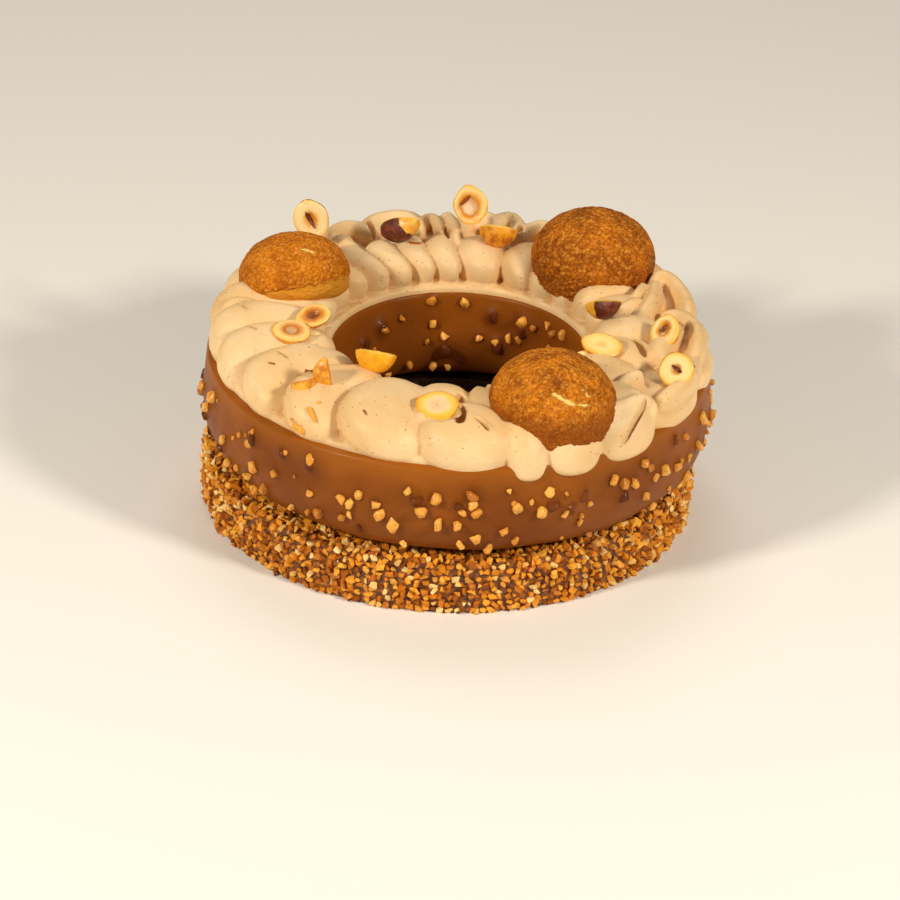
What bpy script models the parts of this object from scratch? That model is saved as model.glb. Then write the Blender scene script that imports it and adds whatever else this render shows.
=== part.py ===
"""Paris-brest cake: a glazed ring on a nut crust, with piped cream, three choux buns and hazelnuts.

The cake stands on its crust. The origin is on the ring's axis at the resting plane, +Z is up,
and the shown side looks along -Y. All sizes are in metres and all angles in degrees.
"""
import math
import random

import bmesh
import bpy
from mathutils import Matrix, Vector

GAP = 0.0003
MERGE = 0.00001
SLIVER = 0.00005
SEAT_GAP = 0.0005
ROUGH_ANGLE = 8.0
FINE_ANGLE = 1.5
FLATTEST = 0.2
SEED = 11

# The crust: a low ring of chopped nuts, set a little to the left of the glazed ring
CRUST_SHIFT = -0.0027
CRUST_OUTER = 0.0903
CRUST_INNER = 0.0500
CRUST_HEIGHT = 0.0215
CRUST_EDGE_ROUND = 0.0022
CRUST_GRAIN = 0.0048
CRUST_RELIEF = 0.0006

# The glazed ring: a ring mould's section, flat on top and rounded below
RING_TOP = 0.0590
RING_FOOT = CRUST_HEIGHT + GAP
RING_WIDEST = 0.0430
RING_OUTER = 0.0928
RING_OUTER_TOP = 0.0916
RING_OUTER_FOOT = 0.0775
RING_INNER = 0.0442
RING_INNER_TOP = 0.0463
RING_INNER_FOOT = 0.0575
RING_FULLNESS = 2.3
RING_STEPS = 52

# Chopped nuts that stand out of the glaze
BITS_OUTSIDE = 54
BITS_INSIDE = 20
BIT_LONGEST = 0.0056
BIT_SHORTEST = 0.0040
BIT_PROUD = 0.0004
BIT_LOWEST = 0.0275
BIT_HIGHEST_OUTSIDE = 0.0515
BIT_HIGHEST_INSIDE = 0.0540

# The piped cream: a thin layer, and a lobe for every turn of the nozzle
CREAM_BOTTOM = 0.0570
CREAM_LAYER_TOP = 0.0612
CREAM_LAYER_ROUND = 0.0008
CREAM_INNER = 0.0468
CREAM_OUTER = 0.0908
CREAM_TOP = 0.0745
CREAM_FULLNESS = 2.5
LOBE_FOOT = 0.0525
LOBE_OVERLAP = 1.30
LOBE_SIDES = 8
LOBE_RINGS = 5
LAYER_STEPS = 40
OUTER_TURN_START = 0.0630
OUTER_TURN_END = 0.0926
INNER_TURN_START = 0.0476
INNER_TURN_END = 0.0740
PETAL_START = 0.0500
PETAL_LEAN = 0.0022
PETALS_DEG = (170, 263)
HANG_DEG = (280, 322)
HANG = 0.0042
HANG_REACH = 0.0020
OUTER_EDGES_DEG = (-17, 2, 16, 30, 44, 58, 73, 86, 96, 106, 117, 129, 141, 153, 165, 178, 192, 207, 223, 240, 263,
                   282, 291, 304, 321, 343)
INNER_EDGES_DEG = (-8, 9, 24, 36, 48, 60, 75, 92, 103, 113, 124, 135, 147, 160, 174, 190, 207, 224, 240, 256, 274,
                   288, 303, 318, 335, 352)

# The choux buns: name, place of the widest circle, radius, and how the top leans
BUNS = (
    ("choux_bun_1", (-0.0616, 0.0262, 0.0735), 0.0205, (-0.10, 0.34)),
    ("choux_bun_2", (0.0487, 0.0500, 0.0735), 0.0230, (0.0, -0.05)),
    ("choux_bun_3", (0.0335, -0.0630, 0.0720), 0.0226, (0.05, -0.08)),
)
BUN_CROWN = 0.78
BUN_BELLY = 0.46
BUN_BELLY_BEND = 0.25
BUN_BELLY_DROP = 0.7
BUN_SIDES = 18
BUN_RINGS = 10

# The halved hazelnuts: name, place of the cut face's middle, length, width, depth,
# then the heading and the rise of the cut face, and the turn of the nut within that face
NUTS = (
    ("hazelnut_1", (-0.0566, 0.0520, 0.0835), 0.0170, 0.0130, 0.0070, (-88, 10), 20),
    ("hazelnut_2", (-0.0225, 0.0640, 0.0745), 0.0165, 0.0110, 0.0065, (80, 62), 65),
    ("hazelnut_3", (0.0025, 0.0680, 0.0842), 0.0150, 0.0130, 0.0065, (-95, 22), 15),
    ("hazelnut_4", (0.0135, 0.0625, 0.0790), 0.0145, 0.0120, 0.0078, (80, 62), 80),
    ("hazelnut_5", (-0.0600, -0.0215, 0.0758), 0.0150, 0.0135, 0.0065, (-70, 52), 70),
    ("hazelnut_6", (-0.0525, -0.0105, 0.0768), 0.0140, 0.0115, 0.0055, (-110, 58), 120),
    ("hazelnut_7", (-0.0298, -0.0395, 0.0775), 0.0150, 0.0105, 0.0075, (75, 70), 80),
    ("hazelnut_8", (-0.0465, -0.0510, 0.0755), 0.0135, 0.0065, 0.0055, (10, 10), 5),
    ("hazelnut_9", (-0.0575, -0.0560, 0.0745), 0.0100, 0.0065, 0.0050, (170, 40), 60),
    ("hazelnut_10", (-0.0050, -0.0700, 0.0755), 0.0160, 0.0145, 0.0070, (-100, 48), 85),
    ("hazelnut_11", (0.0520, 0.0070, 0.0780), 0.0165, 0.0085, 0.0060, (-100, 75), 80),
    ("hazelnut_12", (0.0725, -0.0090, 0.0755), 0.0150, 0.0115, 0.0060, (170, 40), 20),
    ("hazelnut_13", (0.0765, -0.0340, 0.0745), 0.0155, 0.0145, 0.0070, (-105, 32), 10),
    ("hazelnut_14", (0.0510, -0.0230, 0.0745), 0.0165, 0.0110, 0.0050, (-70, 60), 70),
)
NUT_HOLLOW = 0.0010
NUT_SIDES = 10
NUT_RINGS = 6

# Colours as red, green and blue, with a roughness
FINISHES = {
    "nut_crust": ((0.42, 0.23, 0.09), 0.75),
    "chocolate_ring": ((0.21, 0.10, 0.045), 0.35),
    "praline_cream": ((0.72, 0.53, 0.34), 0.50),
    "choux_bun": ((0.40, 0.19, 0.06), 0.80),
    "hazelnut": ((0.80, 0.52, 0.16), 0.50),
}


def clear_scene():
    """Remove every object, so that the script starts from an empty scene."""
    for thing in list(bpy.data.objects):
        bpy.data.objects.remove(thing, do_unlink=True)


def new_collection(name):
    """Make a collection in the scene."""
    collection = bpy.data.collections.new(name)
    bpy.context.scene.collection.children.link(collection)
    return collection


def new_material(name, finish):
    """Make the Principled material of one node."""
    colour, roughness = FINISHES[finish]
    material = bpy.data.materials.new(name)
    material.use_nodes = True
    shader = material.node_tree.nodes["Principled BSDF"]
    shader.inputs["Base Color"].default_value = (*colour, 1.0)
    shader.inputs["Roughness"].default_value = roughness
    shader.inputs["Metallic"].default_value = 0.0
    return material


def mesh_object(name, form, collection):
    """Turn a bmesh into an object of the collection."""
    mesh = bpy.data.meshes.new(name)
    form.to_mesh(mesh)
    form.free()
    thing = bpy.data.objects.new(name, mesh)
    collection.objects.link(thing)
    return thing


def finish_node(thing, finish):
    """Give a finished node its own material and its shading."""
    thing.data.materials.clear()
    thing.data.materials.append(new_material(thing.name, finish))
    thing.data.shade_smooth()
    thing.data.set_sharp_from_angle(angle=math.radians(40))


def bake(thing):
    """Replace an object's mesh by its evaluated one and drop its modifiers."""
    evaluated = thing.evaluated_get(bpy.context.evaluated_depsgraph_get())
    mesh = bpy.data.meshes.new_from_object(evaluated)
    thing.modifiers.clear()
    thing.data = mesh


def turned_ring(name, section, steps, collection):
    """Turn a closed section of (radius, height) points into a ring with the Screw modifier."""
    form = bmesh.new()
    corners = [form.verts.new((radius, 0.0, height)) for radius, height in section]
    for first, second in zip(corners, corners[1:] + corners[:1]):
        form.edges.new((first, second))
    thing = mesh_object(name, form, collection)
    screw = thing.modifiers.new("Screw", "SCREW")
    screw.steps = steps
    screw.render_steps = steps
    screw.use_merge_vertices = True
    screw.merge_threshold = MERGE
    bake(thing)
    close_up(thing)
    return thing


def close_up(thing):
    """Weld the seams of a closed mesh and point its faces outwards."""
    form = bmesh.new()
    form.from_mesh(thing.data)
    bmesh.ops.remove_doubles(form, verts=form.verts, dist=MERGE)
    bmesh.ops.recalc_face_normals(form, faces=form.faces)
    form.to_mesh(thing.data)
    form.free()


def shells_of(form):
    """List the connected shells of a bmesh as sets of faces."""
    left = set(form.faces)
    shells = []
    while left:
        shell = set()
        front = [left.pop()]
        while front:
            face = front.pop()
            shell.add(face)
            for edge in face.edges:
                for other in edge.link_faces:
                    if other in left:
                        left.discard(other)
                        front.append(other)
        shells.append(shell)
    return shells


def keep_main_shell(thing):
    """Keep the largest shell alone, which drops loose scraps and fills sealed hollows."""
    form = bmesh.new()
    form.from_mesh(thing.data)
    shells = sorted(shells_of(form), key=len, reverse=True)
    for shell in shells[1:]:
        bmesh.ops.delete(form, geom=list(shell), context="FACES")
    form.to_mesh(thing.data)
    form.free()


def is_closed(form):
    """Tell whether every edge of a bmesh joins exactly two faces."""
    return all(len(edge.link_faces) == 2 for edge in form.edges)


def thin_out(thing, steepest, weld):
    """Weld the slivers that a Boolean leaves and join nearly flat faces, as far as it stays closed."""
    angle = steepest
    closed = False
    while not closed and angle > FLATTEST:
        form = bmesh.new()
        form.from_mesh(thing.data)
        bmesh.ops.remove_doubles(form, verts=form.verts, dist=weld)
        bmesh.ops.dissolve_degenerate(form, edges=form.edges, dist=weld)
        bmesh.ops.dissolve_limit(form, angle_limit=math.radians(angle), verts=form.verts, edges=form.edges)
        bmesh.ops.triangulate(form, faces=form.faces)
        closed = is_closed(form)
        if closed:
            form.to_mesh(thing.data)
        form.free()
        angle *= 0.9


def combine(thing, tools, operation, solver="EXACT"):
    """Join or cut an object with all objects of a collection at once, then remove those."""
    boolean = thing.modifiers.new(operation.title(), "BOOLEAN")
    boolean.operation = operation
    boolean.operand_type = "COLLECTION"
    boolean.collection = tools
    boolean.solver = solver
    bake(thing)
    for tool in list(tools.objects):
        bpy.data.objects.remove(tool, do_unlink=True)
    keep_main_shell(thing)


def hide_cutter(cutter):
    """Show a cutter as wires and keep it out of renders."""
    cutter.hide_render = True
    cutter.display_type = "WIRE"


def power(value, exponent):
    """Raise a number to a power and keep its sign."""
    return math.copysign(abs(value) ** exponent, value)


def crust_section():
    """Section of the crust: down its outer wall, along its foot, up the hole and over the top."""
    rows = round((CRUST_HEIGHT - CRUST_EDGE_ROUND) / CRUST_GRAIN)
    wall_top = CRUST_HEIGHT - CRUST_EDGE_ROUND
    wall = [(CRUST_OUTER, wall_top * (rows - row) / rows) for row in range(rows + 1)]
    inner = [(CRUST_INNER, 0.0), (CRUST_INNER, wall_top), (CRUST_INNER + CRUST_EDGE_ROUND, CRUST_HEIGHT)]
    ledge = CRUST_OUTER - CRUST_EDGE_ROUND
    return [(ledge, CRUST_HEIGHT)] + wall + inner + [(ledge - CRUST_GRAIN, CRUST_HEIGHT)]


def make_crust(parts):
    """The nut crust: a turned ring whose outer wall and edge are as uneven as packed grains."""
    steps = round(2 * math.pi * CRUST_OUTER / (CRUST_GRAIN * 0.95))
    crust = turned_ring("nut_crust", crust_section(), steps, parts)
    draw = random.Random(SEED)
    for vertex in crust.data.vertices:
        place = vertex.co
        radius = math.hypot(place.x, place.y)
        if place.z > MERGE and radius > CRUST_OUTER - 1.5 * CRUST_EDGE_ROUND:
            push = CRUST_RELIEF * draw.uniform(-1.0, 1.0) / radius
            place.x += place.x * push
            place.y += place.y * push
            place.z -= CRUST_RELIEF * draw.uniform(0.0, 1.5)
        place.x += CRUST_SHIFT
    finish_node(crust, "nut_crust")


def lower_wall(widest, foot, grow, steps):
    """Points down one rounded lower wall of the glazed ring, from its widest circle to its foot."""
    depth = RING_WIDEST - RING_FOOT + grow
    bend = 2 / RING_FULLNESS
    points = []
    for step in range(steps + 1):
        turn = math.radians(90 * step / steps)
        radius = foot + (widest - foot) * power(math.cos(turn), bend)
        points.append((radius, RING_WIDEST - depth * power(math.sin(turn), bend)))
    return points


def glaze_section(grow=0.0, steps=5):
    """Section of the glazed ring: a flat top, straight upper walls and a rounded underside."""
    outer = lower_wall(RING_OUTER + grow, RING_OUTER_FOOT, grow, steps)
    inner = lower_wall(RING_INNER - grow, RING_INNER_FOOT, grow, steps)
    inner.reverse()
    top = [(RING_INNER_TOP - grow, RING_TOP + grow), (RING_OUTER_TOP + grow, RING_TOP + grow)]
    return outer + inner + top


def wall_radius(height, inside):
    """Radius of the glazed ring's wall at a height."""
    widest, foot, edge = (RING_OUTER, RING_OUTER_FOOT, RING_OUTER_TOP)
    if inside:
        widest, foot, edge = (RING_INNER, RING_INNER_FOOT, RING_INNER_TOP)
    if height > RING_WIDEST:
        return widest + (edge - widest) * (height - RING_WIDEST) / (RING_TOP - RING_WIDEST)
    down = (RING_WIDEST - height) / (RING_WIDEST - RING_FOOT)
    return foot + (widest - foot) * (1.0 - down ** RING_FULLNESS) ** (1.0 / RING_FULLNESS)


def add_bits(count, inside, highest, draw, bits):
    """Spread chopped nuts over one wall of the ring, the largest first, by the golden angle."""
    for number in range(count):
        share = (number + 0.5) / count
        size = BIT_LONGEST + (BIT_SHORTEST - BIT_LONGEST) * share
        heading = math.radians(137.508 * number + draw.uniform(-4.0, 4.0))
        height = BIT_LOWEST + (highest - BIT_LOWEST) * ((number * 0.7548777) % 1.0)
        radius = wall_radius(height, inside) + (-BIT_PROUD if inside else BIT_PROUD)
        form = bmesh.new()
        bmesh.ops.create_icosphere(form, subdivisions=1, radius=0.5)
        stretch = Matrix.Diagonal((size * draw.uniform(0.65, 0.8), size * draw.uniform(0.55, 0.75), size, 1.0))
        tumble = Matrix.Rotation(draw.uniform(0.0, math.tau), 4, Vector((1.0, draw.uniform(-0.5, 0.5), 0.3)))
        place = Vector((radius * math.cos(heading), radius * math.sin(heading), height))
        form.transform(Matrix.Translation(place) @ tumble @ stretch)
        mesh_object("bit", form, bits)


def make_glazed_ring(parts, spare):
    """The glazed ring with its chopped nuts, joined to one solid."""
    ring = turned_ring("chocolate_ring", glaze_section(), RING_STEPS, parts)
    draw = random.Random(SEED + 1)
    add_bits(BITS_OUTSIDE, False, BIT_HIGHEST_OUTSIDE, draw, spare)
    add_bits(BITS_INSIDE, True, BIT_HIGHEST_INSIDE, draw, spare)
    combine(ring, spare, "UNION")
    thin_out(ring, ROUGH_ANGLE, SLIVER)
    finish_node(ring, "chocolate_ring")


def add_lobe(spare, edges, reach, heights, lean=0.0, hang=0.0):
    """One lobe of cream: a round form stretched between two angles and two radii.

    lean lifts the side of the smaller angle, and hang lowers the outer end.
    """
    middle = math.radians(sum(edges) / 2)
    half_angle = math.radians((edges[1] - edges[0]) / 2) * LOBE_OVERLAP
    half_reach = (reach[1] - reach[0]) / 2
    half_height = (heights[1] - heights[0]) / 2
    bend = 2 / CREAM_FULLNESS
    form = bmesh.new()
    bmesh.ops.create_uvsphere(form, u_segments=LOBE_SIDES, v_segments=LOBE_RINGS, radius=1.0)
    form.transform(Matrix.Rotation(math.pi / 2, 4, "Y"))
    for vertex in form.verts:
        along, across, up = vertex.co
        radius = reach[0] + half_reach * (1.0 + power(along, bend))
        angle = middle + half_angle * power(across, bend)
        height = heights[0] + half_height * (1.0 + power(up, bend)) - lean * across
        height -= hang * max(0.0, along) ** 2
        vertex.co = (radius * math.cos(angle), radius * math.sin(angle), height)
    mesh_object("lobe", form, spare)


def between(angle, limits):
    """Tell whether an angle lies between two limits."""
    return limits[0] <= angle <= limits[1]


def add_outer_turns(spare, draw):
    """The lobes along the outer rim, some of them broad petals and some hanging over the edge."""
    for edges in zip(OUTER_EDGES_DEG, OUTER_EDGES_DEG[1:]):
        middle = sum(edges) / 2
        start = OUTER_TURN_START
        lean = draw.uniform(-0.0006, 0.0006)
        hang = 0.0
        if between(middle, PETALS_DEG):
            start = PETAL_START
            lean = PETAL_LEAN
        end = OUTER_TURN_END + draw.uniform(-0.0008, 0.0006)
        if between(middle, HANG_DEG):
            hang = HANG
            end += HANG_REACH
        reach = (start, end)
        heights = (LOBE_FOOT, CREAM_TOP + draw.uniform(-0.0010, 0.0008))
        add_lobe(spare, edges, reach, heights, lean, hang)


def add_inner_turns(spare, draw):
    """The narrow pillows along the inner rim."""
    for edges in zip(INNER_EDGES_DEG, INNER_EDGES_DEG[1:]):
        reach = (INNER_TURN_START + draw.uniform(-0.0004, 0.0008), INNER_TURN_END)
        heights = (LOBE_FOOT, CREAM_TOP - 0.0006 + draw.uniform(-0.0010, 0.0006))
        add_lobe(spare, edges, reach, heights)


def cream_section():
    """Section of the thin layer of cream under the lobes."""
    return [
        (CREAM_OUTER - CREAM_LAYER_ROUND, CREAM_LAYER_TOP),
        (CREAM_OUTER, CREAM_LAYER_TOP - CREAM_LAYER_ROUND),
        (CREAM_OUTER, CREAM_BOTTOM),
        (CREAM_INNER, CREAM_BOTTOM),
        (CREAM_INNER, CREAM_LAYER_TOP - CREAM_LAYER_ROUND),
        (CREAM_INNER + CREAM_LAYER_ROUND, CREAM_LAYER_TOP),
    ]


def make_cream(parts, spare, cutters):
    """The piped cream: its turns joined to one body, then cut clear of all that touches it."""
    cream = turned_ring("praline_cream", cream_section(), LAYER_STEPS, parts)
    draw = random.Random(SEED + 2)
    add_outer_turns(spare, draw)
    add_inner_turns(spare, draw)
    combine(cream, spare, "UNION")
    thin_out(cream, ROUGH_ANGLE, SLIVER)
    turned_ring("ring_room", glaze_section(grow=GAP), RING_STEPS, cutters)
    for name, place, radius, lean in BUNS:
        mesh_object("seat_" + name, bun_form(place, radius + SEAT_GAP, lean), cutters)
    for name, *sizes in NUTS:
        mesh_object("seat_" + name, nut_form(*sizes, grow=SEAT_GAP), cutters)
    for cutter in cutters.objects:
        hide_cutter(cutter)
    combine(cream, cutters, "DIFFERENCE", solver="MANIFOLD")
    thin_out(cream, FINE_ANGLE, MERGE)
    finish_node(cream, "praline_cream")


def bun_form(place, radius, lean):
    """A choux bun: a round crown over a shallow belly with a flat underside, leaned over."""
    form = bmesh.new()
    bmesh.ops.create_uvsphere(form, u_segments=BUN_SIDES, v_segments=BUN_RINGS, radius=1.0)
    for vertex in form.verts:
        x, y, z = vertex.co
        spread = 1.0
        height = BUN_CROWN * z
        if z < 0.0:
            spread = (1.0 - abs(z) ** 3) ** BUN_BELLY_BEND / max(MERGE, math.hypot(x, y))
            height = BUN_BELLY * power(z, BUN_BELLY_DROP)
        vertex.co = Vector((x * spread, y * spread, height)) * radius
    tilt = Matrix.Rotation(-lean[1], 4, "X") @ Matrix.Rotation(lean[0], 4, "Y")
    form.transform(Matrix.Translation(place) @ tilt)
    return form


def make_buns(parts):
    """The three choux buns."""
    for name, place, radius, lean in BUNS:
        bun = mesh_object(name, bun_form(place, radius, lean), parts)
        finish_node(bun, "choux_bun")


def nut_form(place, length, width, depth, facing, turn, grow=0.0):
    """Half a hazelnut: a domed back, a pointed tip and a flat cut face with a shallow hollow."""
    form = bmesh.new()
    bmesh.ops.create_uvsphere(form, u_segments=NUT_SIDES, v_segments=NUT_RINGS, radius=1.0)
    form.transform(Matrix.Rotation(math.pi / 2, 4, "X"))
    bmesh.ops.bisect_plane(form, geom=form.verts[:] + form.edges[:] + form.faces[:], dist=MERGE,
                           plane_co=(0.0, 0.0, 0.0), plane_no=(0.0, 0.0, 1.0), clear_outer=True)
    rim = [edge for edge in form.edges if edge.is_boundary]
    cap = bmesh.ops.contextual_create(form, geom=rim)["faces"]
    if not grow:
        bmesh.ops.inset_region(form, faces=cap, thickness=0.25, depth=0.0, use_even_offset=True)
        for vertex in cap[0].verts:
            vertex.co.z -= NUT_HOLLOW / depth
    bmesh.ops.recalc_face_normals(form, faces=form.faces)
    for vertex in form.verts:
        x, y, z = vertex.co
        narrow = 1.0 - 0.22 * max(0.0, y) ** 2
        x = x * narrow * (width / 2 + grow)
        y = y * (length / 2 + grow)
        z = z * (depth + grow) + (grow if z > -MERGE else 0.0)
        vertex.co = (x, y, z)
    heading, rise = (math.radians(value) for value in facing)
    face = Vector((math.cos(rise) * math.cos(heading), math.cos(rise) * math.sin(heading), math.sin(rise)))
    aim = face.to_track_quat("Z", "Y").to_matrix().to_4x4()
    form.transform(Matrix.Translation(place) @ aim @ Matrix.Rotation(math.radians(turn), 4, "Z"))
    return form


def make_nuts(parts):
    """The halved and broken hazelnuts on the cream."""
    for name, *sizes in NUTS:
        nut = mesh_object(name, nut_form(*sizes), parts)
        finish_node(nut, "hazelnut")


def main():
    """Build the whole cake."""
    clear_scene()
    parts = new_collection("paris_brest")
    cutters = new_collection("cutters")
    spare = new_collection("joined_forms")
    make_crust(parts)
    make_glazed_ring(parts, spare)
    make_cream(parts, spare, cutters)
    make_buns(parts)
    make_nuts(parts)
    bpy.data.collections.remove(spare)


main()
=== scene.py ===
"""Paris-brest cake, dressed for the render: nut crust, nut glaze, piped cream, choux buns and hazelnuts.

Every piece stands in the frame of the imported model. Lengths are in metres, and the tables that say so are
in mm. Angles are in degrees, counted around the ring from +X, and the photographed side looks along -Y.
"""
from __future__ import annotations

import logging
import math
import random
from collections.abc import Iterable, Iterator
from dataclasses import dataclass
from enum import Enum

import bmesh
import bpy
from mathutils import Matrix, Vector, bvhtree, kdtree, noise


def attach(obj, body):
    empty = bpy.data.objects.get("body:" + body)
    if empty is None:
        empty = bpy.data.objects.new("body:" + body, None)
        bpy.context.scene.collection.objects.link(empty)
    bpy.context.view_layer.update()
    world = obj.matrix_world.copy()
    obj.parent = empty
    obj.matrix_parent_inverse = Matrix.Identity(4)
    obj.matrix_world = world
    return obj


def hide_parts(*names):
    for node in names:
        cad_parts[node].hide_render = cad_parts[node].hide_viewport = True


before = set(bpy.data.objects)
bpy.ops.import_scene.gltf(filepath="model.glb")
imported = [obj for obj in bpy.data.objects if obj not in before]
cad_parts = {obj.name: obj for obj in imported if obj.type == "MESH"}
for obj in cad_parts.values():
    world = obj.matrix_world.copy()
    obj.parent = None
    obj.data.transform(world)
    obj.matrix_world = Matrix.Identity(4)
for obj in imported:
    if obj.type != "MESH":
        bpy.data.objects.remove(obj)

LOG = logging.getLogger("paris_brest")
BODY = "root"
MM = 0.001

Colour = tuple[float, float, float, float]


def tone(red: int, green: int, blue: int) -> Colour:
    """Turn a screen colour into the linear colour that a shader takes.

    Args:
        red: red from 0 to 255.
        green: green from 0 to 255.
        blue: blue from 0 to 255.

    Returns:
        The linear colour with an alpha of 1.
    """
    parts = []
    for part in (red, green, blue):
        share = part / 255
        parts.append(share / 12.92 if share <= 0.04045 else ((share + 0.055) / 1.055) ** 2.4)
    return (parts[0], parts[1], parts[2], 1.0)


def around(angle: float, radius: float, height: float) -> Vector:
    """Give the place at an angle and a radius around the ring's axis."""
    turn = math.radians(angle)
    return Vector((radius * math.cos(turn), radius * math.sin(turn), height))


def bend(value: float, power: float) -> float:
    """Raise a number to a power and keep its sign."""
    return math.copysign(abs(value) ** power, value)


def ease(value: float, low: float, high: float) -> float:
    """Rise smoothly from 0 at low to 1 at high."""
    share = min(1.0, max(0.0, (value - low) / (high - low)))
    return share * share * (3.0 - 2.0 * share)


class Link:
    """A shader socket that takes part in Python expressions, each of which adds its Math node."""

    def __init__(self, bench: Bench, socket: bpy.types.NodeSocket) -> None:
        """Keep the bench that the socket's tree is built on."""
        self.bench = bench
        self.socket = socket

    def _math(self, operation: str, *terms: Link | float) -> Link:
        """Add one Math node over the terms."""
        feeds = dict(enumerate(terms))
        return self.bench.node("Math", {"operation": operation}, feeds)

    def __add__(self, other: Link | float) -> Link:
        """Add two values."""
        return self._math("ADD", self, other)

    def __radd__(self, other: float) -> Link:
        """Add a value to a number."""
        return self._math("ADD", other, self)

    def __sub__(self, other: Link | float) -> Link:
        """Subtract a value."""
        return self._math("SUBTRACT", self, other)

    def __rsub__(self, other: float) -> Link:
        """Subtract from a number."""
        return self._math("SUBTRACT", other, self)

    def __mul__(self, other: Link | float) -> Link:
        """Multiply two values."""
        return self._math("MULTIPLY", self, other)

    def __rmul__(self, other: float) -> Link:
        """Multiply a number by a value."""
        return self._math("MULTIPLY", other, self)

    def step(self, low: float, high: float) -> Link:
        """Rise smoothly from 0 at low to 1 at high, or fall where low is the larger."""
        settings = {"interpolation_type": "SMOOTHSTEP"}
        return self.bench.node("MapRange", settings, {"Value": self, "From Min": low, "From Max": high})


class Bench:
    """The tree of one material, built up node by node."""

    def __init__(self, name: str) -> None:
        """Start an empty material."""
        self.material = bpy.data.materials.new(name)
        self.material.use_nodes = True
        self.tree = self.material.node_tree
        self.tree.nodes.clear()

    def node(self, kind: str, settings: dict | None = None, feeds: dict | None = None,
             output: int | str = 0) -> Link:
        """Add a node, set it up and feed its sockets.

        Args:
            kind: the node's type without its ShaderNode prefix.
            settings: the node's own settings, with a ramp's stops under "stops".
            feeds: a value or a link for each input, by name or number.
            output: the output that is returned.

        Returns:
            The chosen output.
        """
        made = self.tree.nodes.new("ShaderNode" + kind)
        for key, value in (settings or {}).items():
            if key == "stops":
                self._set_stops(made.color_ramp, value)
            else:
                setattr(made, key, value)
        for key, value in (feeds or {}).items():
            if isinstance(value, Link):
                self.tree.links.new(value.socket, made.inputs[key])
            else:
                made.inputs[key].default_value = value
        return Link(self, made.outputs[output])

    @staticmethod
    def _set_stops(ramp: bpy.types.ColorRamp, stops: Iterable[tuple[float, Colour]]) -> None:
        """Replace a ramp's stops."""
        stops = list(stops)
        while len(ramp.elements) > len(stops):
            ramp.elements.remove(ramp.elements[-1])
        while len(ramp.elements) < len(stops):
            ramp.elements.new(1.0)
        for element, (place, colour) in zip(ramp.elements, stops):
            element.position = place
            element.color = colour

    def place(self) -> Link:
        """Give the object coordinates in metres."""
        return self.node("TexCoord", output="Object")

    def mark(self, name: str, output: str = "Fac") -> Link:
        """Read one of the mesh's own attributes."""
        return self.node("Attribute", {"attribute_name": name}, output=output)

    def noise(self, place: Link, scale: float, detail: float = 2.0, rough: float = 0.5) -> Link:
        """Add a noise of a scale in waves for each metre."""
        feeds = {"Vector": place, "Scale": scale, "Detail": detail, "Roughness": rough}
        return self.node("TexNoise", feeds=feeds)

    def cells(self, place: Link, scale: float, output: str = "Distance") -> Link:
        """Add a pattern of cells, as a distance from the nearest middle or as a colour for each cell."""
        return self.node("TexVoronoi", {"feature": "F1"}, {"Vector": place, "Scale": scale}, output)

    def part(self, colour: Link, axis: int = 0) -> Link:
        """Take one part of a colour or a vector."""
        return self.node("SeparateXYZ", feeds={0: colour}, output=axis)

    def radius(self, place: Link) -> Link:
        """Give the distance from the ring's axis."""
        flat = self.node("VectorMath", {"operation": "MULTIPLY"}, {0: place, 1: (1.0, 1.0, 0.0)})
        return self.node("VectorMath", {"operation": "LENGTH"}, {0: flat}, "Value")

    def mix(self, share: Link | float, first: Link | Colour, second: Link | Colour) -> Link:
        """Mix two colours."""
        feeds = {0: share, 6: first, 7: second}
        return self.node("Mix", {"data_type": "RGBA"}, feeds, 2)

    def ramp(self, share: Link, stops: Iterable[tuple[float, Colour]]) -> Link:
        """Run a value through a ramp of colours."""
        return self.node("ValToRGB", {"stops": stops}, {0: share})

    def bump(self, height: Link, distance: float) -> Link:
        """Turn a height from 0 to 1 into a bump of a depth in metres."""
        return self.node("Bump", feeds={"Height": height, "Distance": distance, "Strength": 1.0})

    def finish(self, base: Link, roughness: Link | float, normal: Link | None = None,
               **constants: float | tuple) -> bpy.types.Material:
        """End the tree with a Principled shader.

        Args:
            base: the base colour.
            roughness: the roughness.
            normal: a bump, if there is one.
            constants: values of the shader's own sockets, with _ for a space in a name.

        Returns:
            The finished material.
        """
        feeds = {"Base Color": base, "Roughness": roughness}
        if normal is not None:
            feeds["Normal"] = normal
        for key, value in constants.items():
            feeds[key.replace("_", " ")] = value
        shader = self.node("BsdfPrincipled", feeds=feeds)
        output = self.tree.nodes.new("ShaderNodeOutputMaterial")
        self.tree.links.new(shader.socket, output.inputs["Surface"])
        return self.material


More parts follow.
